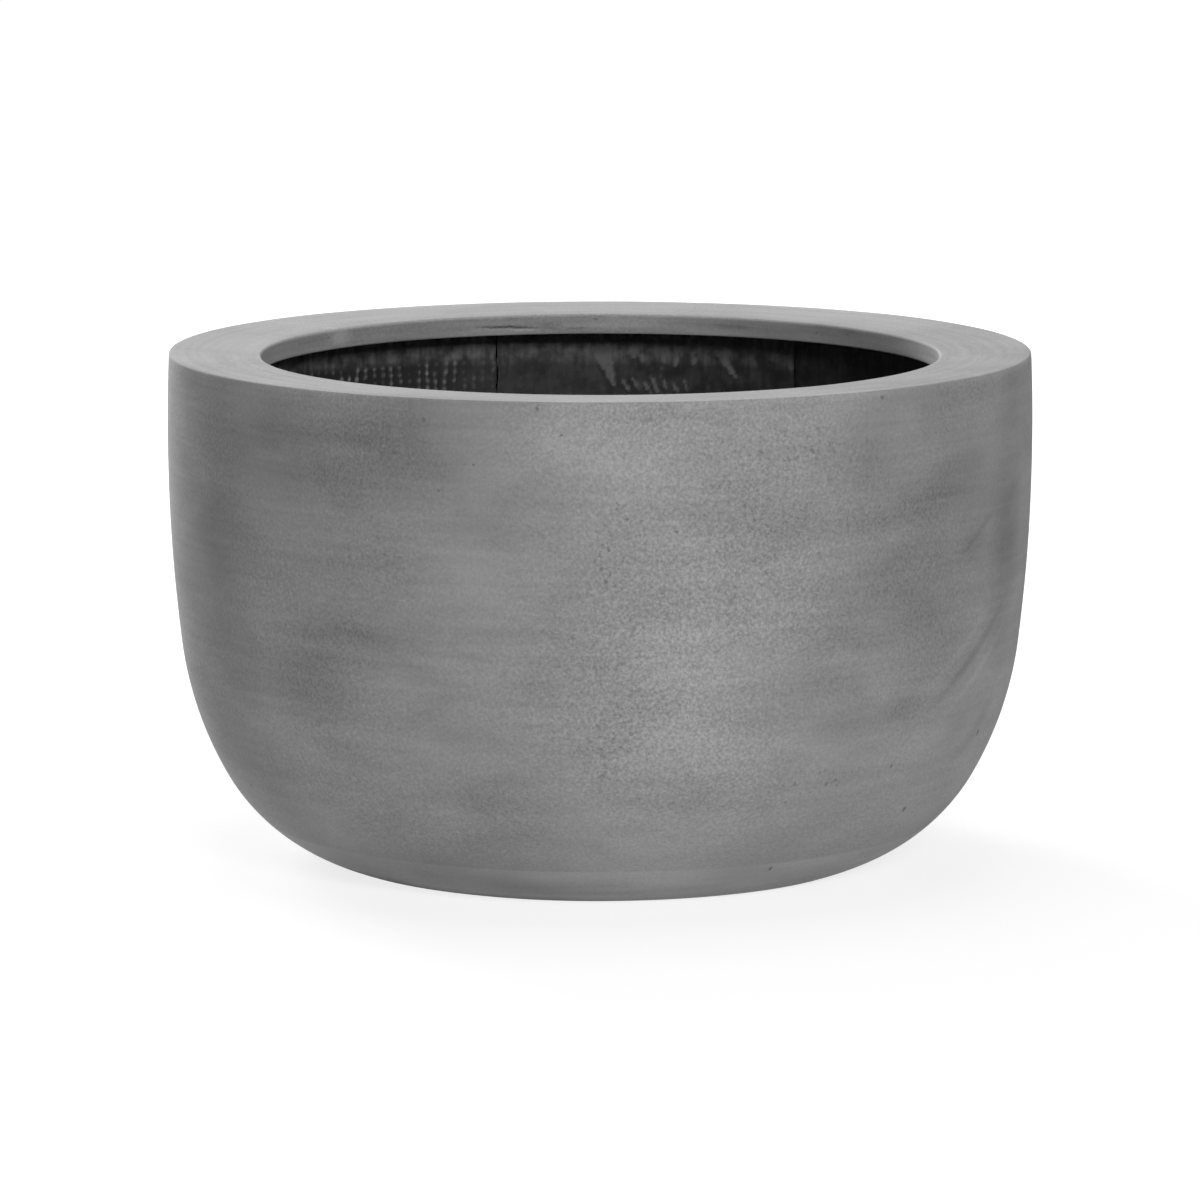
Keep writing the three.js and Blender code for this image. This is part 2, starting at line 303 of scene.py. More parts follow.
def stretched(width, height):
    """The scale of a pattern whose spots are this wide and this high."""
    return 1 / (width * MM), 1 / (width * MM), 1 / (height * MM)


# Turning a profile, with the small unevenness of a mould worked by hand and with dents along the edges of
# another object. Both only go inwards.
turned, given = new_tree(
    "turned_profile", Segments="Int", Unevenness="Float", Unevenness_Size="Float", Dents="Object",
    Dent_Depth="Float", Dent_Width="Float", Material="Material",
)
columns = add_node(turned, "FunctionNodeIntegerMath", {0: given["Segments"], 1: 1}, operation="ADD")
rings = ring_grid(turned, given["Geometry"], columns, 0.0, 2 * math.pi)[0]
sealed = add_node(turned, "GeometryNodeMergeByDistance", {"Geometry": rings, "Distance": WELD * MM})
waves = add_node(turned, "ShaderNodeMath", {0: 1.0, 1: given["Unevenness Size"]}, operation="DIVIDE")
uneven = add_node(turned, "ShaderNodeTexNoise", {"Scale": waves, "Detail": 1.0})
depth = add_node(turned, "ShaderNodeMapRange", {0: uneven, 1: 0.3, 2: 0.7, 3: 0.0, 4: given["Unevenness"]})
dents = add_node(turned, "GeometryNodeObjectInfo", {"Object": given["Dents"]}, "Geometry")
to_dent = add_node(turned, "GeometryNodeProximity", {0: dents}, "Distance", target_element="EDGES")
is_dent = to_dent.node.outputs["Is Valid"]
half_width = add_node(turned, "ShaderNodeMath", {0: given["Dent Width"], 1: 0.5}, operation="MULTIPLY")
dented = add_node(turned, "ShaderNodeMapRange", {0: to_dent, 2: half_width, 3: given["Dent Depth"], 4: 0.0},
                  interpolation_type="SMOOTHSTEP")
dented = add_node(turned, "ShaderNodeMath", {0: dented, 1: is_dent}, operation="MULTIPLY")
depth = add_node(turned, "ShaderNodeMath", {0: depth, 1: dented}, operation="ADD")
inwards = add_node(turned, "ShaderNodeMath", {0: depth, 1: -1.0}, operation="MULTIPLY")
moved = add_node(turned, "GeometryNodeSetPosition", {0: sealed, "Offset": along_normals(turned, inwards)})
end_tree(turned, moved, given["Material"])

# Sanded fibre cement: mid grey and quite matt, clouded where it dried unevenly, with a fine sandy grain,
# level streaks from sanding, a few pinholes, and dark flecks where the mould was rough. Lengths are in
# millimetres. The grain is drawn a little coarser than the real sand, so that it shows.
CEMENT_DAMP = "#8a8a8a"
CEMENT_DRY = "#9a9a9a"
PINHOLE_PAINTED_SHADE = "#666666"
DRYING_SIZE = 170
CLOUD_WIDTH = 60
CLOUD_HEIGHT = 28
STREAK_LENGTH = 110
STREAK_HEIGHT = 4
STREAKS_GROW = (255, 262)  # from the wall to the rim, by height
GRAIN_SIZE = 1.6
UNSANDED_SIZE = 90
FLECK_SIZE = 2.4
FLECKS_ELSEWHERE = 0.08  # the share of the flecks that shows outside the rough places
PINHOLE_SPACING = 12
PINHOLE_RADIUS = 0.8
RAGGED_SIZE = 5
RAGGED_REACH = 4
MARK_DEPTH = 30  # how far through the wall a mark is drawn
# Painted light: the wall is drawn paler towards the foot, for light thrown up from the floor.
FOOT_PAINTED_LIGHT_RISE = (65, 10)  # from the wall down to the foot, by height
# Painted sheen: the rim's face is drawn paler towards the back, where the lights behind catch it.
RIM_PAINTED_SHEEN = (-200, 200)  # from the front of the rim to the back
RIM_FACE_FROM = (262, 263.5)
LIP_FACE_TO = (177, 178)  # the lip's face and just behind it, by radius

# Patches that are darker or paler, and smears: turn and height of the middle in degrees and millimetres,
# half the width and half the height, the lean, and how much paler, or below 0 darker, each is. The broad
# dark patches towards the sides, near turns -110 to -150 and -20 to -50, are painted shade where the wall
# turns away from the front light, and the broad pale ones low in the middle are painted light. The rest
# are drying marks and smears.
MARKS_AND_PAINTED_SHADING = [
    (-125, 235, 85, 45, 0, -1.1),
    (-114, 240, 42, 30, 0, -0.7),
    (-126, 140, 75, 55, 0, -0.75),
    (-47, 172, 78, 82, 0, -1.0),
    (-79, 120, 38, 50, 0, 0.4),
    (-147, 180, 30, 80, 0, -0.7),
    (-130, 110, 34, 55, 0, -0.5),
    (-72, 205, 50, 28, 0, -0.5),
    (-22, 175, 24, 85, 0, -1.0),
    (-52, 100, 40, 26, 0, -0.6),
    (-82, 30, 70, 34, 0, 0.3),
    (-122, 144, 60, 8, 0, -0.45),
    (-100, 150, 40, 8, 0, -0.3),
    (-110, 96, 32, 7, 2, -0.3),
    (-58, 68, 40, 6, 4, -0.35),
    (-58, 121, 24, 11, 0, -0.3),
    (-62, 89, 34, 8, 0, 0.3),
    (-113, 121, 30, 10, 0, 0.3),
    (-77, 163, 14, 20, 0, 0.25),
    (-95, 177, 14, 26, 0, -0.25),
    (-31, 120, 46, 4, 34, -1.0),
    (-34, 126, 42, 3, 34, 0.4),
    (-28, 113, 42, 3.5, 34, 0.5),
    (-31, 186, 26, 3, 30, -0.6),
    (-24, 80, 26, 7, 42, -0.5),
    (-42, 208, 48, 14, 0, -0.55),
    (-33, 179, 15, 12, 0, -0.5),
    (-54, 138, 26, 9, 0, -0.4),
]
PITS = [  # turn, height and radius
    (-112.7, 254.7, 1.5), (-97.9, 262, 1.1), (-110.7, 219.5, 0.8), (-94.8, 249, 0.8), (-51.4, 261.7, 1.4),
    (-45, 71, 1.2), (-37.4, 43.6, 1.5), (-60.5, 19.4, 1.2), (-154.4, 50.1, 1.2), (-89.3, 176.3, 1.0),
    (-80.3, 201.2, 0.9), (-75.2, 190.6, 0.9), (-86.6, 208, 1.0), (-22.6, 76.8, 1.8),
]
GRAINY_PLACES = [  # turn, height, half the width, half the height and how much more grain there is
    (-80, 130, 120, 220, 1.2),
    (-110, 48, 62, 50, 0.9),
]
ROUGH_PLACES = [  # turn, height, half the width and half the height
    (-86, 210, 15, 18), (-89, 184, 9, 22), (-88, 98, 12, 16), (-90, 82, 9, 22),
    (-58, 70, 34, 8), (-66, 240, 30, 12),
]
LIP_MARKS = [  # as the marks above, on the lip
    (142.5, 258.5, 11, 4.5, 0, 2.4),
    (145.5, 259, 1.8, 1, 0, -1.5),
    (90.5, 262.2, 17, 0.8, 0, -0.9),
    (106, 261.5, 4, 0.8, 0, -0.9),
    (90.7, 260, 1.4, 0.8, 0, -2.2),
    (86, 258, 30, 5, 0, 1.3),
    (99, 257, 8, 3, 0, -0.8),
    # a painted shadow: the dark line along the chip at the lip's foot
    (106.8, 256.6, 17, 0.8, 2, -2.8),
    (104, 254.8, 9, 0.7, 2, 1.5),
    (94, 255.5, 6, 0.8, 0, -1.2),
    (73, 258, 14, 5, 0, 0.5),
    (66, 258, 14, 1.5, 0, -0.7),
    (40, 260, 10, 1.5, 0, -0.9),
]

cement, tree, shader = new_material("sanded_fibre_cement", Roughness=0.85)
place = add_node(tree, "ShaderNodeTexCoord", output="Object")


def drawn_mark(turn, height, half_width, half_height, lean=0, *, fade, strength, radius=None):
    """A mark's strength at the shaded point. It fades to 0 between two distances from the mark's middle, of
    which 1 is its edge."""
    radius, angle = radius or wall_point(0, wall_slope(0, height)).x, math.radians(turn)
    local = add_node(tree, "ShaderNodeMapping", {
        "Vector": ragged_place,
        "Location": (radius * MM * math.cos(angle), radius * MM * math.sin(angle), height * MM),
        "Rotation": (0, -math.radians(lean), angle + math.pi / 2),
        "Scale": (half_width * MM, MARK_DEPTH * MM, half_height * MM),
    }, vector_type="TEXTURE")
    away = add_node(tree, "ShaderNodeVectorMath", {0: local}, "Value", operation="LENGTH")
    return add_node(tree, "ShaderNodeMapRange", {0: away, 1: fade[0], 2: fade[1], 3: strength, 4: 0.0},
                    interpolation_type="SMOOTHSTEP")


# Marks are drawn on coordinates pushed about a little, which leaves their outlines ragged.
push = add_node(tree, "ShaderNodeTexNoise", {
    "Vector": place, "Scale": 1 / (RAGGED_SIZE * MM), "Detail": 4.0, "Roughness": 0.7}, "Color")
push = add_node(tree, "ShaderNodeVectorMath", {0: push, 1: (0.5, 0.5, 0.5)}, operation="SUBTRACT")
push = add_node(tree, "ShaderNodeVectorMath", {0: push, "Scale": RAGGED_REACH * MM}, operation="SCALE")
ragged_place = add_node(tree, "ShaderNodeVectorMath", {0: place, 1: push}, operation="ADD")

cloud_place = add_node(tree, "ShaderNodeMapping", {
    "Vector": ragged_place, "Scale": stretched(CLOUD_WIDTH, CLOUD_HEIGHT)})
clouds = add_node(tree, "ShaderNodeTexNoise", {
    "Vector": cloud_place, "Scale": 1.0, "Detail": 3.0, "Distortion": 0.4})
tone = add_node(tree, "ShaderNodeMapRange", {0: clouds, 1: 0.3, 2: 0.7, 3: 0.0, 4: 1.0})
drying = mottling(tree, place, DRYING_SIZE, 1.0, (0.35, 0.65), (-0.3, 0.3))

# Sanding went round the bowl, so its streaks are drawn on the turn and on the way along the profile.
flat_place = add_node(tree, "ShaderNodeVectorMath", {0: place, 1: (1, 1, 0)}, operation="MULTIPLY")
heading = add_node(tree, "ShaderNodeVectorMath", {0: flat_place}, operation="NORMALIZE")
around = add_node(tree, "ShaderNodeVectorMath", {
    0: heading, "Scale": BOWL_DIAMETER / 2 / STREAK_LENGTH}, operation="SCALE")
reach = add_node(tree, "ShaderNodeVectorMath", {0: flat_place}, "Value", operation="LENGTH")
height = add_node(tree, "ShaderNodeSeparateXYZ", {0: place}, "Z")
backwards = height.node.outputs["Y"]
along = add_node(tree, "ShaderNodeMath", {0: height, 1: reach}, operation="SUBTRACT")
along = add_node(tree, "ShaderNodeMath", {0: along, 1: 1 / (STREAK_HEIGHT * MM)}, operation="MULTIPLY")
along = add_node(tree, "ShaderNodeCombineXYZ", {"Z": along})
streak_place = add_node(tree, "ShaderNodeVectorMath", {0: around, 1: along}, operation="ADD")
streaks = add_node(tree, "ShaderNodeTexNoise", {"Vector": streak_place, "Scale": 1.0, "Detail": 2.0})
streaks = add_node(tree, "ShaderNodeMapRange", {0: streaks, 1: 0.3, 2: 0.7, 3: -0.2, 4: 0.2})
# Each of these goes from one value at the first length to another at the second.
on_rim, on_lip, foot_painted_light, yarn_wear_and_rim_sheen, lip_painted_light, on_top = [
    add_node(tree, "ShaderNodeMapRange", {0: length, 1: start * MM, 2: end * MM, 3: first, 4: last})
    for length, (start, end), first, last in (
        (height, STREAKS_GROW, 1.0, 1.7),
        (reach, LIP_FACE_TO, 4.0, 1.0),
        (height, FOOT_PAINTED_LIGHT_RISE, 0.0, 0.9),
        (backwards, RIM_PAINTED_SHEEN, 0.0, 1.1),
        # painted light: the lip's face is drawn paler, for the light from the front that falls on it
        (reach, LIP_FACE_TO, 0.8, 0.0),
        (height, RIM_FACE_FROM, 0.0, 1.0),
    )
]
streaked = add_node(tree, "ShaderNodeMath", {0: on_rim, 1: on_lip}, operation="MAXIMUM")
streaks = add_node(tree, "ShaderNodeMath", {0: streaks, 1: streaked}, operation="MULTIPLY")
yarn_wear_and_rim_sheen = add_node(tree, "ShaderNodeMath", {0: yarn_wear_and_rim_sheen, 1: on_top}, operation="MULTIPLY")

# The grain is coarser to the eye where less was sanded off.
grain = add_node(tree, "ShaderNodeTexNoise", {
    "Vector": place, "Scale": 1 / (GRAIN_SIZE * MM), "Detail": 2.0, "Roughness": 0.7})
unsanded = mottling(tree, place, UNSANDED_SIZE, 1.0, (0.35, 0.65), (0.6, 1.5))
for *mark, strength in GRAINY_PLACES:
    patch = drawn_mark(*mark, fade=(0.2, 1.2), strength=strength)
    unsanded = add_node(tree, "ShaderNodeMath", {0: unsanded, 1: patch}, operation="ADD")
grains = add_node(tree, "ShaderNodeMapRange", {0: grain, 1: 0.25, 2: 0.75, 3: -0.65, 4: 0.65})
grains = add_node(tree, "ShaderNodeMath", {0: grains, 1: unsanded}, operation="MULTIPLY")
for part in (drying, streaks, grains, foot_painted_light, yarn_wear_and_rim_sheen, lip_painted_light):
    tone = add_node(tree, "ShaderNodeMath", {0: tone, 1: part}, operation="ADD")
for marks, radius in ((MARKS_AND_PAINTED_SHADING, None), (LIP_MARKS, mouth_radius)):
    for *mark, strength in marks:
        patch = drawn_mark(*mark, fade=(0.1, 1.3), strength=strength, radius=radius)
        tone = add_node(tree, "ShaderNodeMath", {0: tone, 1: patch}, operation="ADD")

# Where the mould was rough, dark flecks crowd together.
rough = FLECKS_ELSEWHERE
for mark in ROUGH_PLACES:
    patch = drawn_mark(*mark, fade=(0.2, 1.4), strength=1.0)
    rough = add_node(tree, "ShaderNodeMath", {0: patch, 1: rough}, operation="MAXIMUM")
flecks = add_node(tree, "ShaderNodeTexNoise", {
    "Vector": place, "W": 7.0, "Scale": 1 / (FLECK_SIZE * MM), "Detail": 1.0}, noise_dimensions="4D")
flecks = add_node(tree, "ShaderNodeMapRange", {0: flecks, 1: 0.44, 2: 0.32, 3: 0.0, 4: -1.2})
flecks = add_node(tree, "ShaderNodeMath", {0: flecks, 1: rough}, operation="MULTIPLY")
tone = add_node(tree, "ShaderNodeMath", {0: tone, 1: flecks}, operation="ADD")
coat = add_node(tree, "ShaderNodeMix", {0: tone, 6: linear(CEMENT_DAMP), 7: linear(CEMENT_DRY)}, 2,
                data_type="RGBA", clamp_factor=False)

# Pinholes left by bubbles, of random sizes, one in some of the cells of a grid.
cells = add_node(tree, "ShaderNodeTexVoronoi", {
    "Vector": place, "Scale": 1 / (PINHOLE_SPACING * MM)}, "Distance")
size = add_node(tree, "ShaderNodeMapRange", {
    0: cells.node.outputs["Color"], 1: 0.35, 2: 0.9, 3: -0.03, 4: PINHOLE_RADIUS / PINHOLE_SPACING})
hole = add_node(tree, "ShaderNodeMath", {0: size, 1: cells}, operation="SUBTRACT")
hole = add_node(tree, "ShaderNodeMapRange", {0: hole, 2: 0.5 / PINHOLE_SPACING})
for turn, pit_height, radius in PITS:
    pit = drawn_mark(turn, pit_height, radius, radius, fade=(0.3, 1.4), strength=0.85)
    hole = add_node(tree, "ShaderNodeMath", {0: pit, 1: hole}, operation="MAXIMUM")
# The pinholes and pits are darkened with painted shade, as their hollows are only bumps.
coat = add_node(tree, "ShaderNodeMix", {0: hole, 6: coat, 7: linear(PINHOLE_PAINTED_SHADE)}, 2, data_type="RGBA")
tree.links.new(coat, shader.inputs["Base Color"])
relief = add_node(tree, "ShaderNodeMath", {0: hole, 1: -1.5, 2: grain}, operation="MULTIPLY_ADD")
bump = add_node(tree, "ShaderNodeBump", {"Height": relief, "Strength": 0.25, "Distance": 0.4 * MM})
tree.links.new(bump, shader.inputs["Normal"])

# A chip along the foot of the lip: turn, radius and height at its ends and in the middle.
LIP_CHIP = [(102, 176, 255.6), (107, 176, 256.6), (111.5, 176, 256.8)]
CHIP_DEPTH = 0.5
CHIP_WIDTH = 2
chip_mesh = bpy.data.meshes.new("lip_chip")
chip_mesh.from_pydata([
    (radius * MM * math.cos(math.radians(turn)), radius * MM * math.sin(math.radians(turn)), height * MM)
    for turn, radius, height in LIP_CHIP
], [(0, 1), (1, 2)], [])
lip_chip = bpy.data.objects.new("lip_chip", chip_mesh)

shell = made_by(
    profile_mesh("cement_shell", shell_profile), turned,
    Segments=512, Unevenness=0.2 * MM, Unevenness_Size=110 * MM, Dents=lip_chip,
    Dent_Depth=CHIP_DEPTH * MM, Dent_Width=CHIP_WIDTH * MM, Material=cement,
)
bpy.data.objects.remove(lip_chip)
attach(shell, "bowl")
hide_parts("outer_shell")

# ---------------------------------------------------------------------------------------------------
# The laminate: chopped glass fibre in dark polyester resin, laid up behind the shell from the drain hole
# to the back of the lip. Only its cut edge at the drain hole can be seen.

LAMINATE = 3
BOND = 0.3
COVE_RADIUS = 8
COVE_LENGTH = 12  # its quarter round, roughly
LAMINATE_STEP = 9
laminate_back = SKIN + BOND
laminate_face = laminate_back + LAMINATE
cove_height = rim_height(laminate_face, rim_radius - laminate_face - COVE_RADIUS) - COVE_RADIUS
cove_centre = wall_point(laminate_face, wall_slope(laminate_face, cove_height)) - Vector((COVE_RADIUS, 0))


def liner_line(depth, low, step):
    """A layer's face up the wall, round the cove and in under the rim to the back of the lip."""
    end = lip_back + BOND
    steps = max(3, round(COVE_LENGTH / step))
    cove = arc_line(cove_centre, COVE_RADIUS + laminate_face - depth, 0, 90, steps)
    return [
        *wall_line(depth, low, cove_height, step)[:-1],
        *spaced([*cove, Vector((end, rim_height(depth, end)))], step),
    ]


laminate_profile = [
    Vector((DRAIN_HOLE_RADIUS, laminate_back)),
    *wall_line(laminate_back, laminate_back, rim_corner_height(laminate_back), LAMINATE_STEP),
    Vector((lip_back + BOND, rim_height(laminate_back, lip_back + BOND))),
    *liner_line(laminate_face, laminate_face, LAMINATE_STEP)[::-1],
    Vector((DRAIN_HOLE_RADIUS, laminate_face)),
    Vector((DRAIN_HOLE_RADIUS, laminate_back)),
]

# Resin over chopped strands: nearly black, half gloss, with short paler fibres that cross at random.
RESIN = "#1f1f1f"
STRAND = "#3a3a3a"
STRAND_WIDTH = 1.5
resin, tree, shader = new_material("chopped_strand_laminate", Roughness=0.45, IOR=1.55)
place = add_node(tree, "ShaderNodeTexCoord", output="Object")
strands = add_node(tree, "ShaderNodeTexNoise", {
    "Vector": place, "Scale": 1 / (STRAND_WIDTH * MM), "Detail": 2.0, "Distortion": 2.0})
share = add_node(tree, "ShaderNodeMapRange", {0: strands, 1: 0.45, 2: 0.65})
shade = add_node(tree, "ShaderNodeMix", {0: share, 6: linear(RESIN), 7: linear(STRAND)}, 2, data_type="RGBA")
tree.links.new(shade, shader.inputs["Base Color"])
bump = add_node(tree, "ShaderNodeBump", {"Height": strands, "Strength": 0.4, "Distance": 0.3 * MM})
tree.links.new(bump, shader.inputs["Normal"])

laminate = made_by(
    profile_mesh("glass_fibre_laminate", laminate_profile), turned,
    Segments=256, Unevenness=0.0, Unevenness_Size=100 * MM, Material=resin,
)
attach(laminate, "bowl")
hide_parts("backing_laminate")

# ---------------------------------------------------------------------------------------------------
# The floor disc: a round of open glass scrim of 5.5 mm pitch, cut square to its weave, bedded in resin on
# the laminate before the strips, and turned up the wall for 15 mm under their feet. The drain hole is
# punched through it.

MESH = 1.2
MESH_PITCH = 5.5
YARN_WIDTH = 3.4
RELIEF = 0.7
DISC_RISE = 15
DISC_CELLS_PER_PITCH = 4
DISC_FLOODING = 0.42
DISC_DUST = 0.8
mesh_start = laminate_face + BOND
floor_top = mesh_start + MESH
disc_bend = arcs[0]["centre"]
flat_radius = floor_corner(mesh_start).x
bend_radius = arcs[0]["radius"] - mesh_start
bend_start = wall_slope(mesh_start, mesh_start)
disc_reach = flat_radius + bend_radius * (wall_slope(mesh_start, floor_top + DISC_RISE) - bend_start)

# Resin-soaked glass scrim: black resin in the windows, yarns greyed by the cement dust that caught on them,
# a satin film with upright brush marks where it is flooded, and pale cement where slurry ran.
WINDOW = "#2c2c2c"
YARN = "#a4a4a4"
FILM = "#161616"
BRUSHED = "#989898"
SLURRY = "#727272"
DUST_SIZE = 8
BRUSH_MARK_WIDTH = 3
BRUSH_MARK_LENGTH = 18
BRUSHED_FROM = (230, 239)  # the brush marks are plainest above these heights
FUZZ_SIZE = 0.9
scrim_finish, tree, shader = new_material("resin_soaked_glass_scrim", IOR=1.5, Specular_IOR_Level=0.25)
place = add_node(tree, "ShaderNodeTexCoord", output="Object")
shares = {label: add_node(tree, "ShaderNodeAttribute", output="Fac", attribute_name=label)
          for label in ("yarn", "flood", "slurry", "dust")}
dust = mottling(tree, place, DUST_SIZE, 3.0, (0.38, 0.6), (0.35, 1.0))
dust = add_node(tree, "ShaderNodeMath", {0: dust, 1: shares["dust"]}, operation="MULTIPLY")
yarn_share = add_node(tree, "ShaderNodeMapRange", {0: shares["yarn"], 1: 0.1, 2: 0.9})
yarn_share = add_node(tree, "ShaderNodeMath", {0: yarn_share, 1: dust}, operation="MULTIPLY")
brush_place = add_node(tree, "ShaderNodeMapping", {
    "Vector": place, "Scale": stretched(BRUSH_MARK_WIDTH, BRUSH_MARK_LENGTH)})
brushing = add_node(tree, "ShaderNodeTexNoise", {"Vector": brush_place, "Scale": 1.0, "Detail": 2.0})
brushing = add_node(tree, "ShaderNodeMapRange", {0: brushing, 1: 0.3, 2: 0.65, 3: 0.5, 4: 1.0})
height = add_node(tree, "ShaderNodeSeparateXYZ", {0: place}, "Z")
brushed_height = add_node(tree, "ShaderNodeMapRange", {
    0: height, 1: BRUSHED_FROM[0] * MM, 2: BRUSHED_FROM[1] * MM, 3: 0.2, 4: 1.0})
brushing = add_node(tree, "ShaderNodeMath", {0: brushing, 1: brushed_height}, operation="MULTIPLY")
brushing = add_node(tree, "ShaderNodeMath", {0: brushing, 1: dust}, operation="MULTIPLY")
weave, film = [
    add_node(tree, "ShaderNodeMix", {0: share, 6: linear(ground), 7: linear(top)}, 2, data_type="RGBA")
    for share, ground, top in ((yarn_share, WINDOW, YARN), (brushing, FILM, BRUSHED))
]
shade = add_node(tree, "ShaderNodeMix", {0: shares["flood"], 6: weave, 7: film}, 2, data_type="RGBA")
shade = add_node(tree, "ShaderNodeMix", {
    0: shares["slurry"], 6: shade, 7: linear(SLURRY)}, 2, data_type="RGBA")
tree.links.new(shade, shader.inputs["Base Color"])
gloss = add_node(tree, "ShaderNodeMapRange", {0: shares["flood"], 3: 0.62, 4: 0.42})
gloss = add_node(tree, "ShaderNodeMath", {0: shares["slurry"], 1: 0.3, 2: gloss}, operation="MULTIPLY_ADD")
tree.links.new(gloss, shader.inputs["Roughness"])
fuzz = add_node(tree, "ShaderNodeTexNoise", {"Vector": place, "Scale": 1 / (FUZZ_SIZE * MM), "Detail": 1.0})
bump = add_node(tree, "ShaderNodeBump", {"Height": fuzz, "Strength": 0.3, "Distance": 0.2 * MM})
tree.links.new(bump, shader.inputs["Normal"])

SCRIM_SHARP = 60  # its edges are drawn sharp from this angle on


def yarn_ridge(tree, along, half_pitch, half_yarn):
    """1 on the middle of each yarn and 0 past its sides."""
    off_yarn = add_node(tree, "ShaderNodeMath", {0: along, 1: half_pitch}, operation="PINGPONG")
    return add_node(tree, "ShaderNodeMapRange", {0: off_yarn, 2: half_yarn, 3: 1.0, 4: 0.0},
                    interpolation_type="SMOOTHSTEP")


def flooded(tree, pools, flooding):
    """1 where resin floods the weave and 0 where it doesn't."""
    pools = add_node(tree, "ShaderNodeMath", {0: pools, 1: flooding}, operation="ADD")
    return add_node(tree, "ShaderNodeMapRange", {0: pools, 1: 0.85, 2: 1.1}, interpolation_type="SMOOTHSTEP")


def cut_down(tree, level, relief):
    """How far the face lies from the scrim's full thickness, which is level 1."""
    lost = add_node(tree, "ShaderNodeMath", {0: level, 1: 1.0}, operation="SUBTRACT")
    return add_node(tree, "ShaderNodeMath", {0: lost, 1: relief}, operation="MULTIPLY")


def storing(tree, geometry, **values):
    """Keeps values on the geometry's points, most of them for the finish to read."""
    for label, value in values.items():
        geometry = add_node(tree, "GeometryNodeStoreNamedAttribute", {
            0: geometry, "Name": label, "Value": value}, data_type="FLOAT", domain="POINT")
    return geometry


# A square of scrim with its relief, cut round, punched and pressed into the bowl. Windows lie deepest, yarns
# higher and knots highest, and where resin floods them it leaves a rippled film.
DISC_POOL_SIZE = 55
RIPPLE_SIZE = 14
dished, given = new_tree(
    "dished_scrim", Cells="Int", Pitch="Float", Cells_Per_Pitch="Float", Yarn_Width="Float", Relief="Float",
    Resin_Flood="Float", Hole_Radius="Float", Reach="Float", Flat_Radius="Float", Bend_Radius="Float",
    Bend_Start="Float", Bend_Centre="Vector", Floor="Float", Thickness="Float", Dust="Float",
    Material="Material",
)
cell_size = add_node(dished, "ShaderNodeMath", {
    0: given["Pitch"], 1: given["Cells Per Pitch"]}, operation="DIVIDE")
side = add_node(dished, "ShaderNodeMath", {0: given["Cells"], 1: cell_size}, operation="MULTIPLY")
corners = add_node(dished, "FunctionNodeIntegerMath", {0: given["Cells"], 1: 1}, operation="ADD")
sheet = add_node(dished, "GeometryNodeMeshGrid", {0: side, 1: side, 2: corners, 3: corners})
flat_place = add_node(dished, "GeometryNodeInputPosition")
reach = add_node(dished, "ShaderNodeVectorMath", {0: flat_place}, "Value", operation="LENGTH")
spare = add_node(dished, "ShaderNodeMath", {0: cell_size, 1: 0.6}, operation="MULTIPLY")
inside = add_node(dished, "ShaderNodeMath", {0: given["Hole Radius"], 1: spare}, operation="SUBTRACT")
outside = add_node(dished, "ShaderNodeMath", {0: given["Reach"], 1: spare}, operation="ADD")
in_hole = add_node(dished, "FunctionNodeCompare", {0: reach, 1: inside}, operation="LESS_THAN")
past_edge = add_node(dished, "FunctionNodeCompare", {0: reach, 1: outside}, operation="GREATER_THAN")
waste = add_node(dished, "FunctionNodeBooleanMath", {0: in_hole, 1: past_edge}, operation="OR")
disc = add_node(dished, "GeometryNodeDeleteGeometry", {0: sheet, 1: waste}, domain="POINT")
axes = add_node(dished, "ShaderNodeSeparateXYZ", {0: flat_place}).node.outputs
half_pitch = add_node(dished, "ShaderNodeMath", {0: given["Pitch"], 1: 0.5}, operation="MULTIPLY")
half_yarn = add_node(dished, "ShaderNodeMath", {0: given["Yarn Width"], 1: 0.5}, operation="MULTIPLY")
ridges = [yarn_ridge(dished, axes[axis], half_pitch, half_yarn) for axis in ("X", "Y")]
web = add_node(dished, "ShaderNodeMath", {0: ridges[0], 1: ridges[1]}, operation="MAXIMUM")
knot = add_node(dished, "ShaderNodeMath", {0: ridges[0], 1: ridges[1]}, operation="MULTIPLY")
yarn = add_node(dished, "ShaderNodeMath", {0: web, 1: 0.55}, operation="MULTIPLY")
yarn = add_node(dished, "ShaderNodeMath", {0: knot, 1: 0.45, 2: yarn}, operation="MULTIPLY_ADD")
pools = add_node(dished, "ShaderNodeTexNoise", {"Scale": 1 / (DISC_POOL_SIZE * MM), "Detail": 2.0})
flood = flooded(dished, pools, given["Resin Flood"])
ripple = add_node(dished, "ShaderNodeTexNoise", {"Scale": 1 / (RIPPLE_SIZE * MM), "Detail": 1.0})
film = add_node(dished, "ShaderNodeMapRange", {0: ripple, 1: 0.3, 2: 0.7, 3: 0.55, 4: 0.8})
level = add_node(dished, "ShaderNodeMix", {0: flood, 2: yarn, 3: film})
disc = storing(dished, disc, yarn=yarn, flood=flood, level=level, dust=given["Dust"])
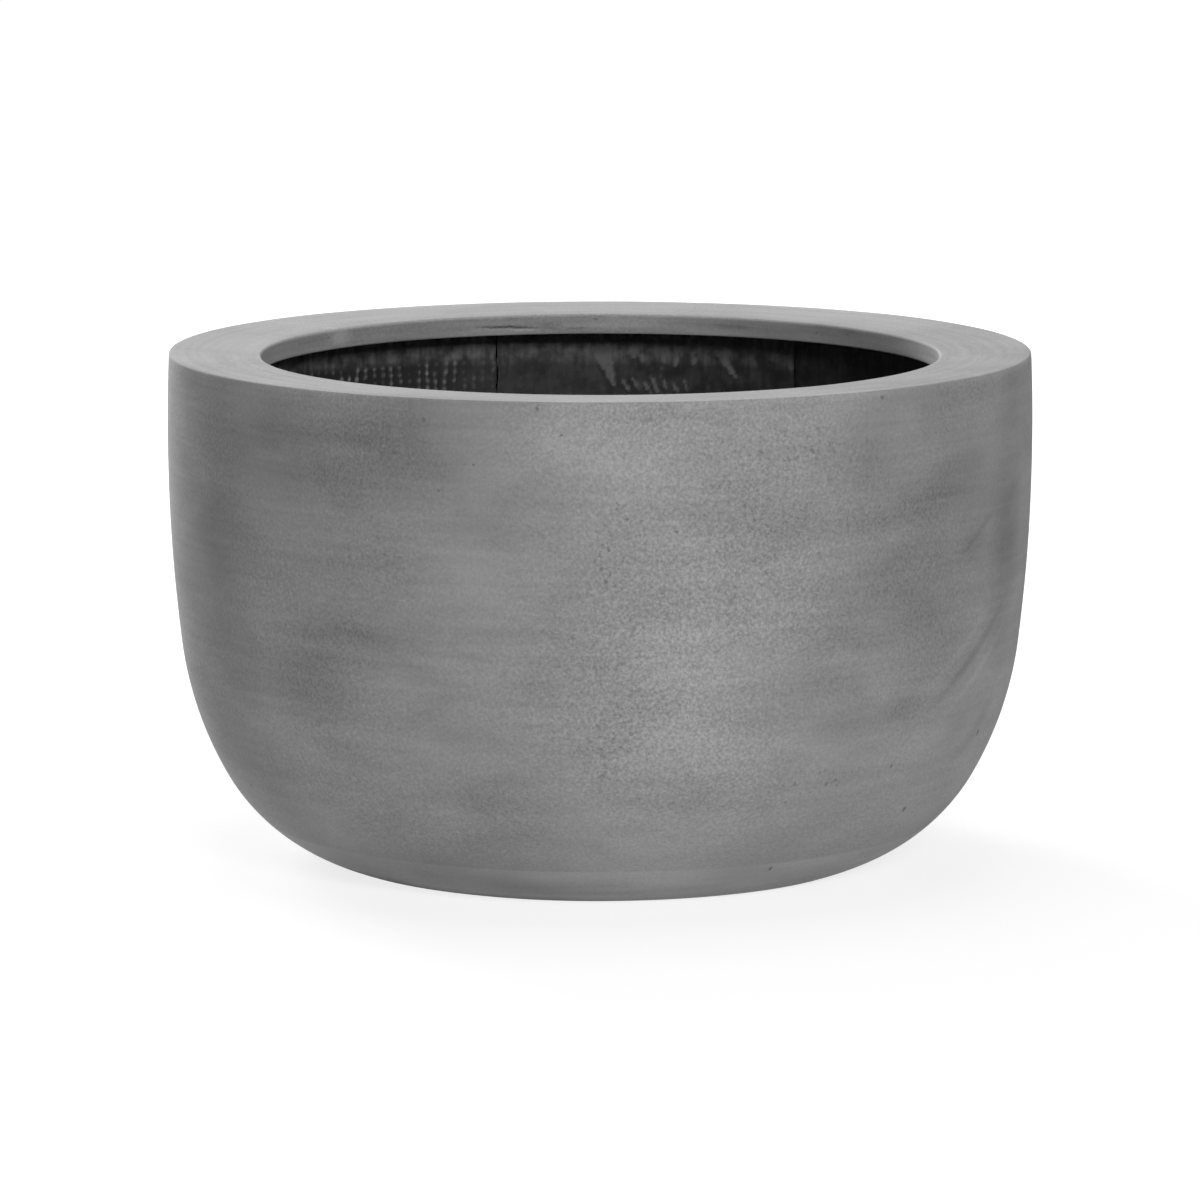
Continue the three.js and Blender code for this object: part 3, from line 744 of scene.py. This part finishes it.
# Pressing it into the bowl: flat out to the corner of the floor, then up the arc of the wall's foot.
held = add_node(dished, "ShaderNodeClamp", {0: reach, 1: given["Hole Radius"], 2: given["Reach"]})
beyond = add_node(dished, "ShaderNodeMath", {0: held, 1: given["Flat Radius"]}, operation="SUBTRACT")
bent = add_node(dished, "ShaderNodeMath", {0: beyond, 1: given["Bend Radius"]}, operation="DIVIDE")
slope = add_node(dished, "ShaderNodeMath", {0: bent, 1: given["Bend Start"]}, operation="ADD")
centre = add_node(dished, "ShaderNodeSeparateXYZ", {0: given["Bend Centre"]})
across = add_node(dished, "ShaderNodeMath", {0: slope}, operation="SINE")
across = add_node(dished, "ShaderNodeMath", {
    0: across, 1: given["Bend Radius"], 2: centre}, operation="MULTIPLY_ADD")
down = add_node(dished, "ShaderNodeMath", {0: slope}, operation="COSINE")
down = add_node(dished, "ShaderNodeMath", {0: down, 1: given["Bend Radius"]}, operation="MULTIPLY")
up = add_node(dished, "ShaderNodeMath", {0: centre.node.outputs["Z"], 1: down}, operation="SUBTRACT")
on_wall = add_node(dished, "ShaderNodeMath", {0: beyond, 1: 0.0}, operation="GREATER_THAN")
radius = add_node(dished, "ShaderNodeMix", {0: on_wall, 2: held, 3: across})
height = add_node(dished, "ShaderNodeMix", {0: on_wall, 2: given["Floor"], 3: up})
heading = add_node(dished, "ShaderNodeVectorMath", {0: flat_place}, operation="NORMALIZE")
level_place = add_node(dished, "ShaderNodeVectorMath", {0: heading, "Scale": radius}, operation="SCALE")
rise = add_node(dished, "ShaderNodeCombineXYZ", {"Z": height})
pressed = add_node(dished, "ShaderNodeVectorMath", {0: level_place, 1: rise}, operation="ADD")
disc = add_node(dished, "GeometryNodeSetPosition", {0: disc, "Position": pressed})
thick = add_node(dished, "GeometryNodeExtrudeMesh", {
    0: disc, "Offset Scale": given["Thickness"], "Individual": False})
level = add_node(dished, "GeometryNodeInputNamedAttribute", {"Name": "level"}, data_type="FLOAT")
cut = cut_down(dished, level, given["Relief"])
woven = add_node(dished, "GeometryNodeSetPosition", {
    0: thick, "Selection": thick.node.outputs["Top"], "Offset": along_normals(dished, cut)})
under = add_node(dished, "GeometryNodeFlipFaces", {0: disc})
both = add_node(dished, "GeometryNodeJoinGeometry", {0: woven})
dished.links.new(under, both.node.inputs[0])
end_tree(dished, both, given["Material"], SCRIM_SHARP)

disc_cell = MESH_PITCH / DISC_CELLS_PER_PITCH
floor_scrim = made_by(
    profile_mesh("floor_scrim", []), dished,
    Cells=2 * math.ceil(disc_reach / disc_cell), Pitch=MESH_PITCH * MM,
    Cells_Per_Pitch=float(DISC_CELLS_PER_PITCH), Yarn_Width=YARN_WIDTH * MM, Relief=RELIEF * MM,
    Resin_Flood=DISC_FLOODING, Hole_Radius=DRAIN_HOLE_RADIUS * MM, Reach=disc_reach * MM,
    Flat_Radius=flat_radius * MM, Bend_Radius=bend_radius * MM, Bend_Start=bend_start,
    Bend_Centre=(disc_bend.x * MM, 0.0, disc_bend.y * MM), Floor=mesh_start * MM, Thickness=MESH * MM,
    Dust=DISC_DUST, Material=scrim_finish,
)
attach(floor_scrim, "bowl")
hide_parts("floor_mesh_disc")

# ---------------------------------------------------------------------------------------------------
# The wall strips: eight upright strips of the same scrim, brushed into the resin from the floor disc to the
# back of the lip, each lapped 20 mm over the next. In places the yarns and their knots stand out, and in
# others the resin floods them.

STRIP_FOOT_RISE = 4
STRIP_COUNT = 8
FIRST_STRIP_TURN = 10
LAP_WIDTH = 20
JOGGLE = 12
EDGE_THINNING = 0.9
SMOOTH_FROM = 232  # above this height the resin was brushed to a film
SMOOTHING_HEIGHT = 4
POOL_SIZE = 38
STRIP_BRUSH_WIDTH = 3
STRIP_BRUSH_LENGTH = 16
STRIP_BACK_STEP = 10
RUN_RAGGED_SIZE = 3
RUN_EDGE_WIDTH = 1.1
STRAY_SIZE = 8
# Across a strip, in radians round the axis: where it is pressed flat after its first edge, and how far its
# free edge is thinned, drags the weave along with it and strays.
PRESSED = (0.13, 0.22)
THINNED = 0.016
DRAGGED = 0.03
STRAY = 0.007
CELLS_PER_PITCH = 5
CELLS_PER_PITCH_UP = 4
layer_pitch = MESH + BOND
cell = MESH_PITCH / CELLS_PER_PITCH


def strip_line(depth, step):
    """A strip's face from its foot, lapped on the floor disc, down to the laminate and up to the lip."""
    step_foot = floor_top + DISC_RISE + BOND
    return spaced([
        *wall_line(depth + layer_pitch, floor_top + STRIP_FOOT_RISE, step_foot, step),
        *liner_line(depth, step_foot + JOGGLE, step),
    ], step)


face_line = strip_line(mesh_start + MESH, cell)
face_rows = len(face_line)
strip_profile = [*face_line[::-1], *strip_line(mesh_start, STRIP_BACK_STEP), face_line[-1]]

# The scrim's relief is cut down from the strip's full thickness: windows lie deepest, yarns higher and
# knots highest. Flooding lifts the windows to a smooth film with upright brush marks. Slurry that ran
# back over the mesh stands on it as pale runs and lumps.
scrim, given = new_tree(
    "lapped_scrim", Columns="Int", Face_Rows="Int", First_Turn="Float", Last_Turn="Float",
    Rising_Turn="Float", Raised_Turn="Float", Layer_Pitch="Float", Cells_Per_Pitch="Float",
    Cells_Per_Pitch_Up="Float", Yarn_Width_In_Cells="Float", Relief="Float", Edge_Thinning="Float",
    Resin_Flood="Float", Smooth_From="Float", Dust="Float", Seed="Float", Slurry_Runs="Object",
    Material="Material",
)
strip, column, row, turn = ring_grid(
    scrim, given["Geometry"], given["Columns"], given["First Turn"], given["Last Turn"])
half_yarn = add_node(scrim, "ShaderNodeMath", {0: given["Yarn Width In Cells"], 1: 0.5}, operation="MULTIPLY")
position = add_node(scrim, "GeometryNodeInputPosition")
wander, yarn_wear_and_rim_sheen, pools = [
    add_node(scrim, "ShaderNodeTexNoise", {
        "Vector": position, "W": given["Seed"], "Scale": 1 / (size * MM), "Detail": detail},
        noise_dimensions="4D")
    for size, detail in ((2 * MESH_PITCH, 1.0), (1.6 * MESH_PITCH, 1.0), (POOL_SIZE, 2.0))
]
wander = add_node(scrim, "ShaderNodeMapRange", {0: wander, 1: 0.3, 2: 0.7, 3: -0.7, 4: 0.7})
ridges = []
for count, pitch in ((column, "Cells Per Pitch"), (row, "Cells Per Pitch Up")):
    half_pitch = add_node(scrim, "ShaderNodeMath", {0: given[pitch], 1: 0.5}, operation="MULTIPLY")
    wandering = add_node(scrim, "ShaderNodeMath", {0: count, 1: wander}, operation="ADD")
    ridges.append(yarn_ridge(scrim, wandering, half_pitch, half_yarn))
knot = add_node(scrim, "ShaderNodeMath", {0: ridges[0], 1: ridges[1]}, operation="MULTIPLY")
yarn = 0.0
for ridge, share in ((knot, 0.56), (ridges[0], 0.32), (ridges[1], 0.12)):
    yarn = add_node(scrim, "ShaderNodeMath", {0: ridge, 1: share, 2: yarn}, operation="MULTIPLY_ADD")
yarn_wear_and_rim_sheen = add_node(scrim, "ShaderNodeMapRange", {0: yarn_wear_and_rim_sheen, 1: 0.38, 2: 0.58, 3: 0.2, 4: 1.0})
yarn = add_node(scrim, "ShaderNodeMath", {0: yarn, 1: yarn_wear_and_rim_sheen}, operation="MULTIPLY")
flood = flooded(scrim, pools, given["Resin Flood"])
past = add_node(scrim, "ShaderNodeSeparateXYZ", {0: position}, "Z")
past = add_node(scrim, "ShaderNodeMath", {0: past, 1: given["Smooth From"]}, operation="SUBTRACT")
smoothed = add_node(scrim, "ShaderNodeMapRange", {0: past, 2: SMOOTHING_HEIGHT * MM, 4: 0.8})
from_first = add_node(scrim, "ShaderNodeMath", {0: turn, 1: given["First Turn"]}, operation="SUBTRACT")
pressed = add_node(scrim, "ShaderNodeMapRange", {
    0: from_first, 1: PRESSED[0], 2: PRESSED[1], 3: 0.75, 4: 0.0})
for part in (smoothed, pressed):
    flood = add_node(scrim, "ShaderNodeMath", {0: flood, 1: part}, operation="MAXIMUM")
brush_place = add_node(scrim, "ShaderNodeVectorMath", {
    0: position, 1: stretched(STRIP_BRUSH_WIDTH, STRIP_BRUSH_LENGTH)}, operation="MULTIPLY")
brush = add_node(scrim, "ShaderNodeTexNoise", {"Vector": brush_place, "Scale": 1.0, "Detail": 1.0})
film = add_node(scrim, "ShaderNodeMapRange", {0: brush, 1: 0.3, 2: 0.7, 3: 0.6, 4: 0.75})
level = add_node(scrim, "ShaderNodeMix", {0: flood, 2: yarn, 3: film})
runs = add_node(scrim, "GeometryNodeObjectInfo", {"Object": given["Slurry Runs"]}, "Geometry")
to_run = add_node(scrim, "GeometryNodeProximity", {0: runs}, "Distance", target_element="FACES")
ragged = add_node(scrim, "ShaderNodeTexNoise", {
    "Vector": position, "Scale": 1 / (RUN_RAGGED_SIZE * MM), "Detail": 2.0})
ragged = add_node(scrim, "ShaderNodeMath", {
    0: ragged, 1: RUN_RAGGED_SIZE * MM, 2: -RUN_RAGGED_SIZE / 2 * MM}, operation="MULTIPLY_ADD")
to_run = add_node(scrim, "ShaderNodeMath", {0: to_run, 1: ragged}, operation="ADD")
slurry = add_node(scrim, "ShaderNodeMapRange", {0: to_run, 2: RUN_EDGE_WIDTH * MM, 3: 1.0, 4: 0.0},
                  interpolation_type="SMOOTHSTEP")
level = add_node(scrim, "ShaderNodeMath", {0: slurry, 1: 0.35, 2: level}, operation="MULTIPLY_ADD")
cut = cut_down(scrim, level, given["Relief"])
last_row = add_node(scrim, "FunctionNodeIntegerMath", {0: given["Face Rows"], 1: 1}, operation="SUBTRACT")
past_first, before_last = [
    add_node(scrim, "FunctionNodeCompare", {2: row, 3: limit}, data_type="INT", operation=operation)
    for limit, operation in ((0, "GREATER_THAN"), (last_row, "LESS_THAN"))
]
on_face = add_node(scrim, "FunctionNodeBooleanMath", {0: past_first, 1: before_last}, operation="AND")
cut = add_node(scrim, "ShaderNodeMath", {0: cut, 1: on_face}, operation="MULTIPLY")
# The free edge on top was pressed thin and cut by hand, so it isn't quite straight.
to_edge = add_node(scrim, "ShaderNodeMath", {0: given["Last Turn"], 1: turn}, operation="SUBTRACT")
thinned = add_node(scrim, "ShaderNodeMapRange", {0: to_edge, 2: THINNED, 3: given["Edge Thinning"], 4: 0.0})
thinned = add_node(scrim, "ShaderNodeMath", {0: thinned, 1: on_face}, operation="MULTIPLY")
cut = add_node(scrim, "ShaderNodeMath", {0: cut, 1: thinned}, operation="SUBTRACT")
deepest = add_node(scrim, "ShaderNodeMath", {
    0: given["Relief"], 1: given["Edge Thinning"]}, operation="MAXIMUM")
deepest = add_node(scrim, "ShaderNodeMath", {0: deepest, 1: -1.0}, operation="MULTIPLY")
cut = add_node(scrim, "ShaderNodeMath", {0: cut, 1: deepest}, operation="MAXIMUM")
rise = add_node(scrim, "ShaderNodeMapRange", {
    0: turn, 1: given["Rising Turn"], 2: given["Raised Turn"], 4: given["Layer Pitch"]})
# A lap lies a layer higher all over. Its rise goes along the wall's own direction, which is that of the
# face's normals, so the back of a raised lap takes the turned-over normal.
side = add_node(scrim, "FunctionNodeCompare", {2: row, 3: given["Face Rows"]}, data_type="INT",
                operation="LESS_THAN")
side = add_node(scrim, "ShaderNodeMapRange", {0: side, 3: -1.0, 4: 1.0})
rise = add_node(scrim, "ShaderNodeMath", {0: rise, 1: side}, operation="MULTIPLY")
lift = add_node(scrim, "ShaderNodeMath", {0: cut, 1: rise}, operation="ADD")
strip = storing(scrim, strip, yarn=yarn, flood=flood, slurry=slurry, dust=given["Dust"])
strip = add_node(scrim, "GeometryNodeSetPosition", {0: strip, "Offset": along_normals(scrim, lift)})
near_edge = add_node(scrim, "ShaderNodeMapRange", {0: to_edge, 2: DRAGGED, 3: 1.0, 4: 0.0})
upright = add_node(scrim, "ShaderNodeVectorMath", {0: position, 1: (0, 0, 1)}, operation="MULTIPLY")
strayed = add_node(scrim, "ShaderNodeTexNoise", {
    "Vector": upright, "W": given["Seed"], "Scale": 1 / (STRAY_SIZE * MM), "Detail": 2.0},
    noise_dimensions="4D")
strayed = add_node(scrim, "ShaderNodeMapRange", {0: strayed, 1: 0.3, 2: 0.7, 3: -STRAY, 4: STRAY})
strayed = add_node(scrim, "ShaderNodeMath", {0: strayed, 1: near_edge}, operation="MULTIPLY")
strayed = add_node(scrim, "ShaderNodeVectorRotate", {
    "Vector": position, "Angle": strayed}, rotation_type="Z_AXIS")
strip = add_node(scrim, "GeometryNodeSetPosition", {0: strip, "Position": strayed})
end_tree(scrim, strip, given["Material"], SCRIM_SHARP)

# Where slurry ran: turn and height of the top, half the width there, and the same for the foot.
SLURRY_RUNS = [
    (89.9, 240, 5.5, 88, 219, 0.2),
    (85.3, 237, 1.2, 85, 235, 0.6), (83.9, 236, 1, 83.7, 233, 0.4), (81, 239, 1.2, 80.6, 232, 0.4),
    (78.6, 240, 1.5, 78.9, 231, 0.3), (76.4, 238, 0.9, 76.2, 232, 0.3), (72.3, 237, 1.5, 69.9, 225.5, 0.8),
    (86.6, 222, 0.1, 86, 217, 0.2), (85.2, 223, 0.2, 84.4, 217, 0.2), (83.6, 221, 0.1, 83, 217, 0.2),
    (82.3, 223, 0.2, 81.6, 216, 0.2), (80.7, 222, 0.1, 80.2, 217, 0.1), (79.3, 221, 0.1, 78.6, 216, 0.2),
    (77.6, 222, 0.1, 77.2, 218, 0.1), (106.3, 243, 1.5, 105.9, 235, 0.4), (62, 238, 1.2, 60.8, 231, 0.5),
]
run_points = []
for top_turn, top_height, top_half, foot_turn, foot_height, foot_half in SLURRY_RUNS:
    for turn_at, height_at, half in (
        (top_turn, top_height, top_half), (top_turn, top_height, -top_half),
        (foot_turn, foot_height, -foot_half), (foot_turn, foot_height, foot_half),
    ):
        radius = wall_point(floor_top, wall_slope(floor_top, height_at)).x
        angle = math.radians(turn_at) + half / radius
        run_points.append(Vector((radius * math.cos(angle), radius * math.sin(angle), height_at)) * MM)
run_mesh = bpy.data.meshes.new("slurry_runs")
run_mesh.from_pydata(run_points, [], [range(k, k + 4) for k in range(0, len(run_points), 4)])
slurry_runs = bpy.data.objects.new("slurry_runs", run_mesh)

# How much resin floods each strip and how much dust it caught, from the first round to the last. The first
# strip, flooded most and dusted least, is the darkest: partly dark resin, partly painted shade for the right
# of the hollow, where light hardly reaches.
STRIP_FINISHES_AND_SHADE = [
    (0.75, 0.35), (0.6, 0.75), (0.27, 1.0), (0.4, 0.7), (0.5, 0.6), (0.35, 0.8), (0.6, 0.5), (0.45, 0.7),
]
mesh_radius = BOWL_DIAMETER / 2 - mesh_start
strip_turn = 2 * math.pi / STRIP_COUNT
full_turn = strip_turn + LAP_WIDTH / mesh_radius
for number, (flooding, dust) in enumerate(STRIP_FINISHES_AND_SHADE):
    first = math.radians(FIRST_STRIP_TURN) + number * strip_turn
    raised = first + strip_turn - BOND / mesh_radius
    piece = made_by(
        profile_mesh(f"wall_scrim_{number + 1}", strip_profile), scrim,
        Columns=round(full_turn * mesh_radius / cell) + 1, Face_Rows=face_rows,
        First_Turn=first, Last_Turn=first + full_turn,
        Rising_Turn=raised - JOGGLE / mesh_radius, Raised_Turn=raised, Layer_Pitch=layer_pitch * MM,
        Cells_Per_Pitch=float(CELLS_PER_PITCH), Cells_Per_Pitch_Up=float(CELLS_PER_PITCH_UP),
        Yarn_Width_In_Cells=YARN_WIDTH / cell, Relief=RELIEF * MM, Edge_Thinning=EDGE_THINNING * MM,
        Resin_Flood=flooding, Smooth_From=SMOOTH_FROM * MM, Dust=dust, Seed=float(number),
        Slurry_Runs=slurry_runs, Material=scrim_finish,
    )
    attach(piece, "bowl")
    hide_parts(f"wall_mesh_strip_{number + 1}")
bpy.data.objects.remove(slurry_runs)

# ---------------------------------------------------------------------------------------------------
# The drain plug: one moulding of soft black rubber, pushed down through the hole by hand. Two lips seal
# its stem, its head lies on the floor and its hollow foot lets the stem give.

PLUG_HEAD_RADIUS = DRAIN_HOLE_RADIUS + 7
PLUG_HEAD_THICKNESS = 3
PLUG_EDGE_RADIUS = 1.5
PLUG_DOME_RISE = 3
PLUG_RIB_HEIGHT = 0.6
PLUG_RIB_WIDTH = 1.4
PLUG_STEM_WALL = 4
PLUG_CORE_DEPTH = 5
PLUG_SOFTENING = 0.5  # the radius of the moulding's small corners
PLUG_GROOVE = 0.5
PLUG_RIB_STEPS = 8
DOME_STEPS = 16
seat = floor_top + BOND
stem_foot = FOOT_RECESS_DEPTH + BOND
rib_radius = DRAIN_HOLE_RADIUS - BOND
stem_radius = rib_radius - PLUG_RIB_HEIGHT
core_radius = stem_radius - PLUG_STEM_WALL
core_top = stem_foot + PLUG_CORE_DEPTH
head_top = seat + PLUG_HEAD_THICKNESS
rib_pitch = (seat - stem_foot) / 3


def softened(radius, height, start, end):
    """A small rounded corner of the moulding, about this centre."""
    return arc_line(Vector((radius, height)), PLUG_SOFTENING, start, end, 3)


ribs = []
for middle in (stem_foot + rib_pitch, stem_foot + 2 * rib_pitch):
    for k in range(PLUG_RIB_STEPS + 1):
        along = 2 * k / PLUG_RIB_STEPS - 1
        swell = PLUG_RIB_HEIGHT * math.cos(along * math.pi / 2) ** 2
        ribs.append(Vector((stem_radius + swell, middle + along * PLUG_RIB_WIDTH / 2)))
head_edge = Vector((PLUG_HEAD_RADIUS - PLUG_EDGE_RADIUS, head_top - PLUG_EDGE_RADIUS))
dome = [
    Vector((DRAIN_HOLE_RADIUS * math.cos(turn), head_top + PLUG_DOME_RISE * math.sin(turn)))
    for turn in [k / DOME_STEPS * math.pi / 2 for k in range(1, DOME_STEPS)]
]
plug_profile = [
    Vector((0, core_top)),
    *softened(core_radius - PLUG_SOFTENING, core_top - PLUG_SOFTENING, 90, 0),
    *softened(core_radius + PLUG_SOFTENING, stem_foot + PLUG_SOFTENING, 180, 270),
    *softened(stem_radius - PLUG_SOFTENING, stem_foot + PLUG_SOFTENING, 270, 360),
    *ribs,
    Vector((stem_radius, seat)),
    *softened(PLUG_HEAD_RADIUS - PLUG_SOFTENING, seat + PLUG_SOFTENING, 270, 360),
    *arc_line(head_edge, PLUG_EDGE_RADIUS, 0, 90, EDGE_STEPS),
    Vector((DRAIN_HOLE_RADIUS + 2 * PLUG_GROOVE, head_top)),
    Vector((DRAIN_HOLE_RADIUS + PLUG_GROOVE, head_top - PLUG_GROOVE)),
    Vector((DRAIN_HOLE_RADIUS, head_top)),
    *dome,
    Vector((0, head_top + PLUG_DOME_RISE)),
]

# Moulded rubber: black, matt, a little greyed by the dust of a dry bowl on what faces up.
RUBBER = "#191919"
RUBBER_DUST = "#3b3b3b"
RUBBER_DUST_SIZE = 6
RUBBER_SKIN_SIZE = 0.5
rubber, tree, shader = new_material("moulded_rubber", Roughness=0.6, IOR=1.52)
place = add_node(tree, "ShaderNodeTexCoord", output="Object")
facing_up = add_node(tree, "ShaderNodeNewGeometry", output="Normal")
facing_up = add_node(tree, "ShaderNodeSeparateXYZ", {0: facing_up}, "Z")
lying = add_node(tree, "ShaderNodeMapRange", {0: facing_up, 1: 0.5, 2: 1.0, 3: 0.0, 4: 0.6})
patches = mottling(tree, place, RUBBER_DUST_SIZE, 3.0, (0.4, 0.65), (0.0, 1.0))
dust = add_node(tree, "ShaderNodeMath", {0: lying, 1: patches}, operation="MULTIPLY")
shade = add_node(tree, "ShaderNodeMix", {
    0: dust, 6: linear(RUBBER), 7: linear(RUBBER_DUST)}, 2, data_type="RGBA")
tree.links.new(shade, shader.inputs["Base Color"])
skin = add_node(tree, "ShaderNodeTexNoise", {
    "Vector": place, "Scale": 1 / (RUBBER_SKIN_SIZE * MM), "Detail": 1.0})
bump = add_node(tree, "ShaderNodeBump", {"Height": skin, "Strength": 0.15, "Distance": 0.1 * MM})
tree.links.new(bump, shader.inputs["Normal"])

plug = made_by(
    profile_mesh("rubber_drain_plug", plug_profile), turned,
    Segments=128, Unevenness=0.0, Unevenness_Size=100 * MM, Material=rubber,
)
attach(plug, "drain_plug")
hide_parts("drain_plug")

# ---------------------------------------------------------------------------------------------------
# The studio: a pale floor in front of a white background, soft lights in front, overhead and behind, and
# the strongest behind on the left, which edges that side. The camera stands where the photograph was taken.

PAPER = "#f8f8f8"
FLOOR_REACH = 8
FLOOR_WHITENS = (0.3, 0.9)  # how far from the bowl's axis, in metres
LIGHTS_AIM = (0, 0, 0.15)


def looked_at(tree):
    """1 for a ray from the camera, off gloss or through glass, and 0 for one that lights the bowl."""
    rays = add_node(tree, "ShaderNodeLightPath", output="Is Camera Ray")
    direct = rays
    for kind in ("Is Glossy Ray", "Is Transmission Ray"):
        direct = add_node(tree, "ShaderNodeMath", {
            0: direct, 1: rays.node.outputs[kind]}, operation="MAXIMUM")
    return direct


floor_mesh = bpy.data.meshes.new("studio_floor")
floor_mesh.from_pydata(
    [(x * FLOOR_REACH, y * FLOOR_REACH, 0) for x, y in ((-1, -1), (1, -1), (1, 1), (-1, 1))],
    [], [(0, 1, 2, 3)])
studio_floor = bpy.data.objects.new("studio_floor", floor_mesh)
bpy.context.scene.collection.objects.link(studio_floor)
paper, tree, shader = new_material("white_paper", Roughness=0.9)
shader.inputs["Base Color"].default_value = linear(PAPER)
place = add_node(tree, "ShaderNodeTexCoord", output="Object")
away = add_node(tree, "ShaderNodeVectorMath", {0: place}, "Value", operation="LENGTH")
white = add_node(tree, "ShaderNodeMapRange", {
    0: away, 1: FLOOR_WHITENS[0], 2: FLOOR_WHITENS[1], 3: 0.8, 4: 1.0}, interpolation_type="SMOOTHSTEP")
glow = add_node(tree, "ShaderNodeEmission", {"Color": (1, 1, 1, 1), "Strength": white})
veil = add_node(tree, "ShaderNodeBsdfDiffuse", {"Color": (0.3, 0.3, 0.3, 1)})
seen = add_node(tree, "ShaderNodeAddShader", {0: glow, 1: veil})
surface = add_node(tree, "ShaderNodeMixShader", {0: looked_at(tree), 1: shader.outputs[0], 2: seen})
tree.links.new(surface, tree.nodes["Material Output"].inputs["Surface"])
floor_mesh.materials.append(paper)

world = bpy.data.worlds.new("studio")
bpy.context.scene.world = world
world.use_nodes = True
tree = world.node_tree
sky = tree.nodes["Background"]
sky.inputs["Color"].default_value = (1, 1, 1, 1)
strength = add_node(tree, "ShaderNodeMapRange", {0: looked_at(tree), 3: 0.02, 4: 1.0})
tree.links.new(strength, sky.inputs["Strength"])


def soft_light(name, place, size, power):
    """A softbox that looks at the bowl. Its place and size are in metres and its power is in watts."""
    light = bpy.data.lights.new(name, "AREA")
    light.shape = "RECTANGLE"
    light.size, light.size_y = size
    light.energy = power
    lamp = bpy.data.objects.new(name, light)
    lamp.location = place
    lamp.rotation_euler = (Vector(LIGHTS_AIM) - Vector(place)).to_track_quat("-Z", "Y").to_euler()
    bpy.context.scene.collection.objects.link(lamp)


soft_light("front_softbox", (0.66, -2.41, 1.1), (0.9, 0.5), 33.5)
soft_light("top_softbox", (0, 0, 2.4), (1.2, 1.2), 20)
soft_light("back_softbox", (0, 2.51, 0.87), (0.9, 0.9), 12)
soft_light("left_edge_softbox", (-1.22, 2.2, 0.87), (0.9, 0.9), 62)

# A long lens, from 3.6 m away and a little above the bowl.
CAMERA_PLACE = (0, -3.6, 0.692)
CAMERA_TILT = 8.83  # degrees below the horizontal
CAMERA_LENS = 209
SENSOR_WIDTH = 36
camera = bpy.data.objects.new("camera", bpy.data.cameras.new("camera"))
camera.data.sensor_width = SENSOR_WIDTH
camera.data.lens = CAMERA_LENS
camera.data.clip_end = 50
camera.location = CAMERA_PLACE
camera.rotation_euler = (math.radians(90 - CAMERA_TILT), 0, 0)
bpy.context.scene.collection.objects.link(camera)
bpy.context.scene.camera = camera
bpy.context.scene.view_settings.view_transform = "Standard"
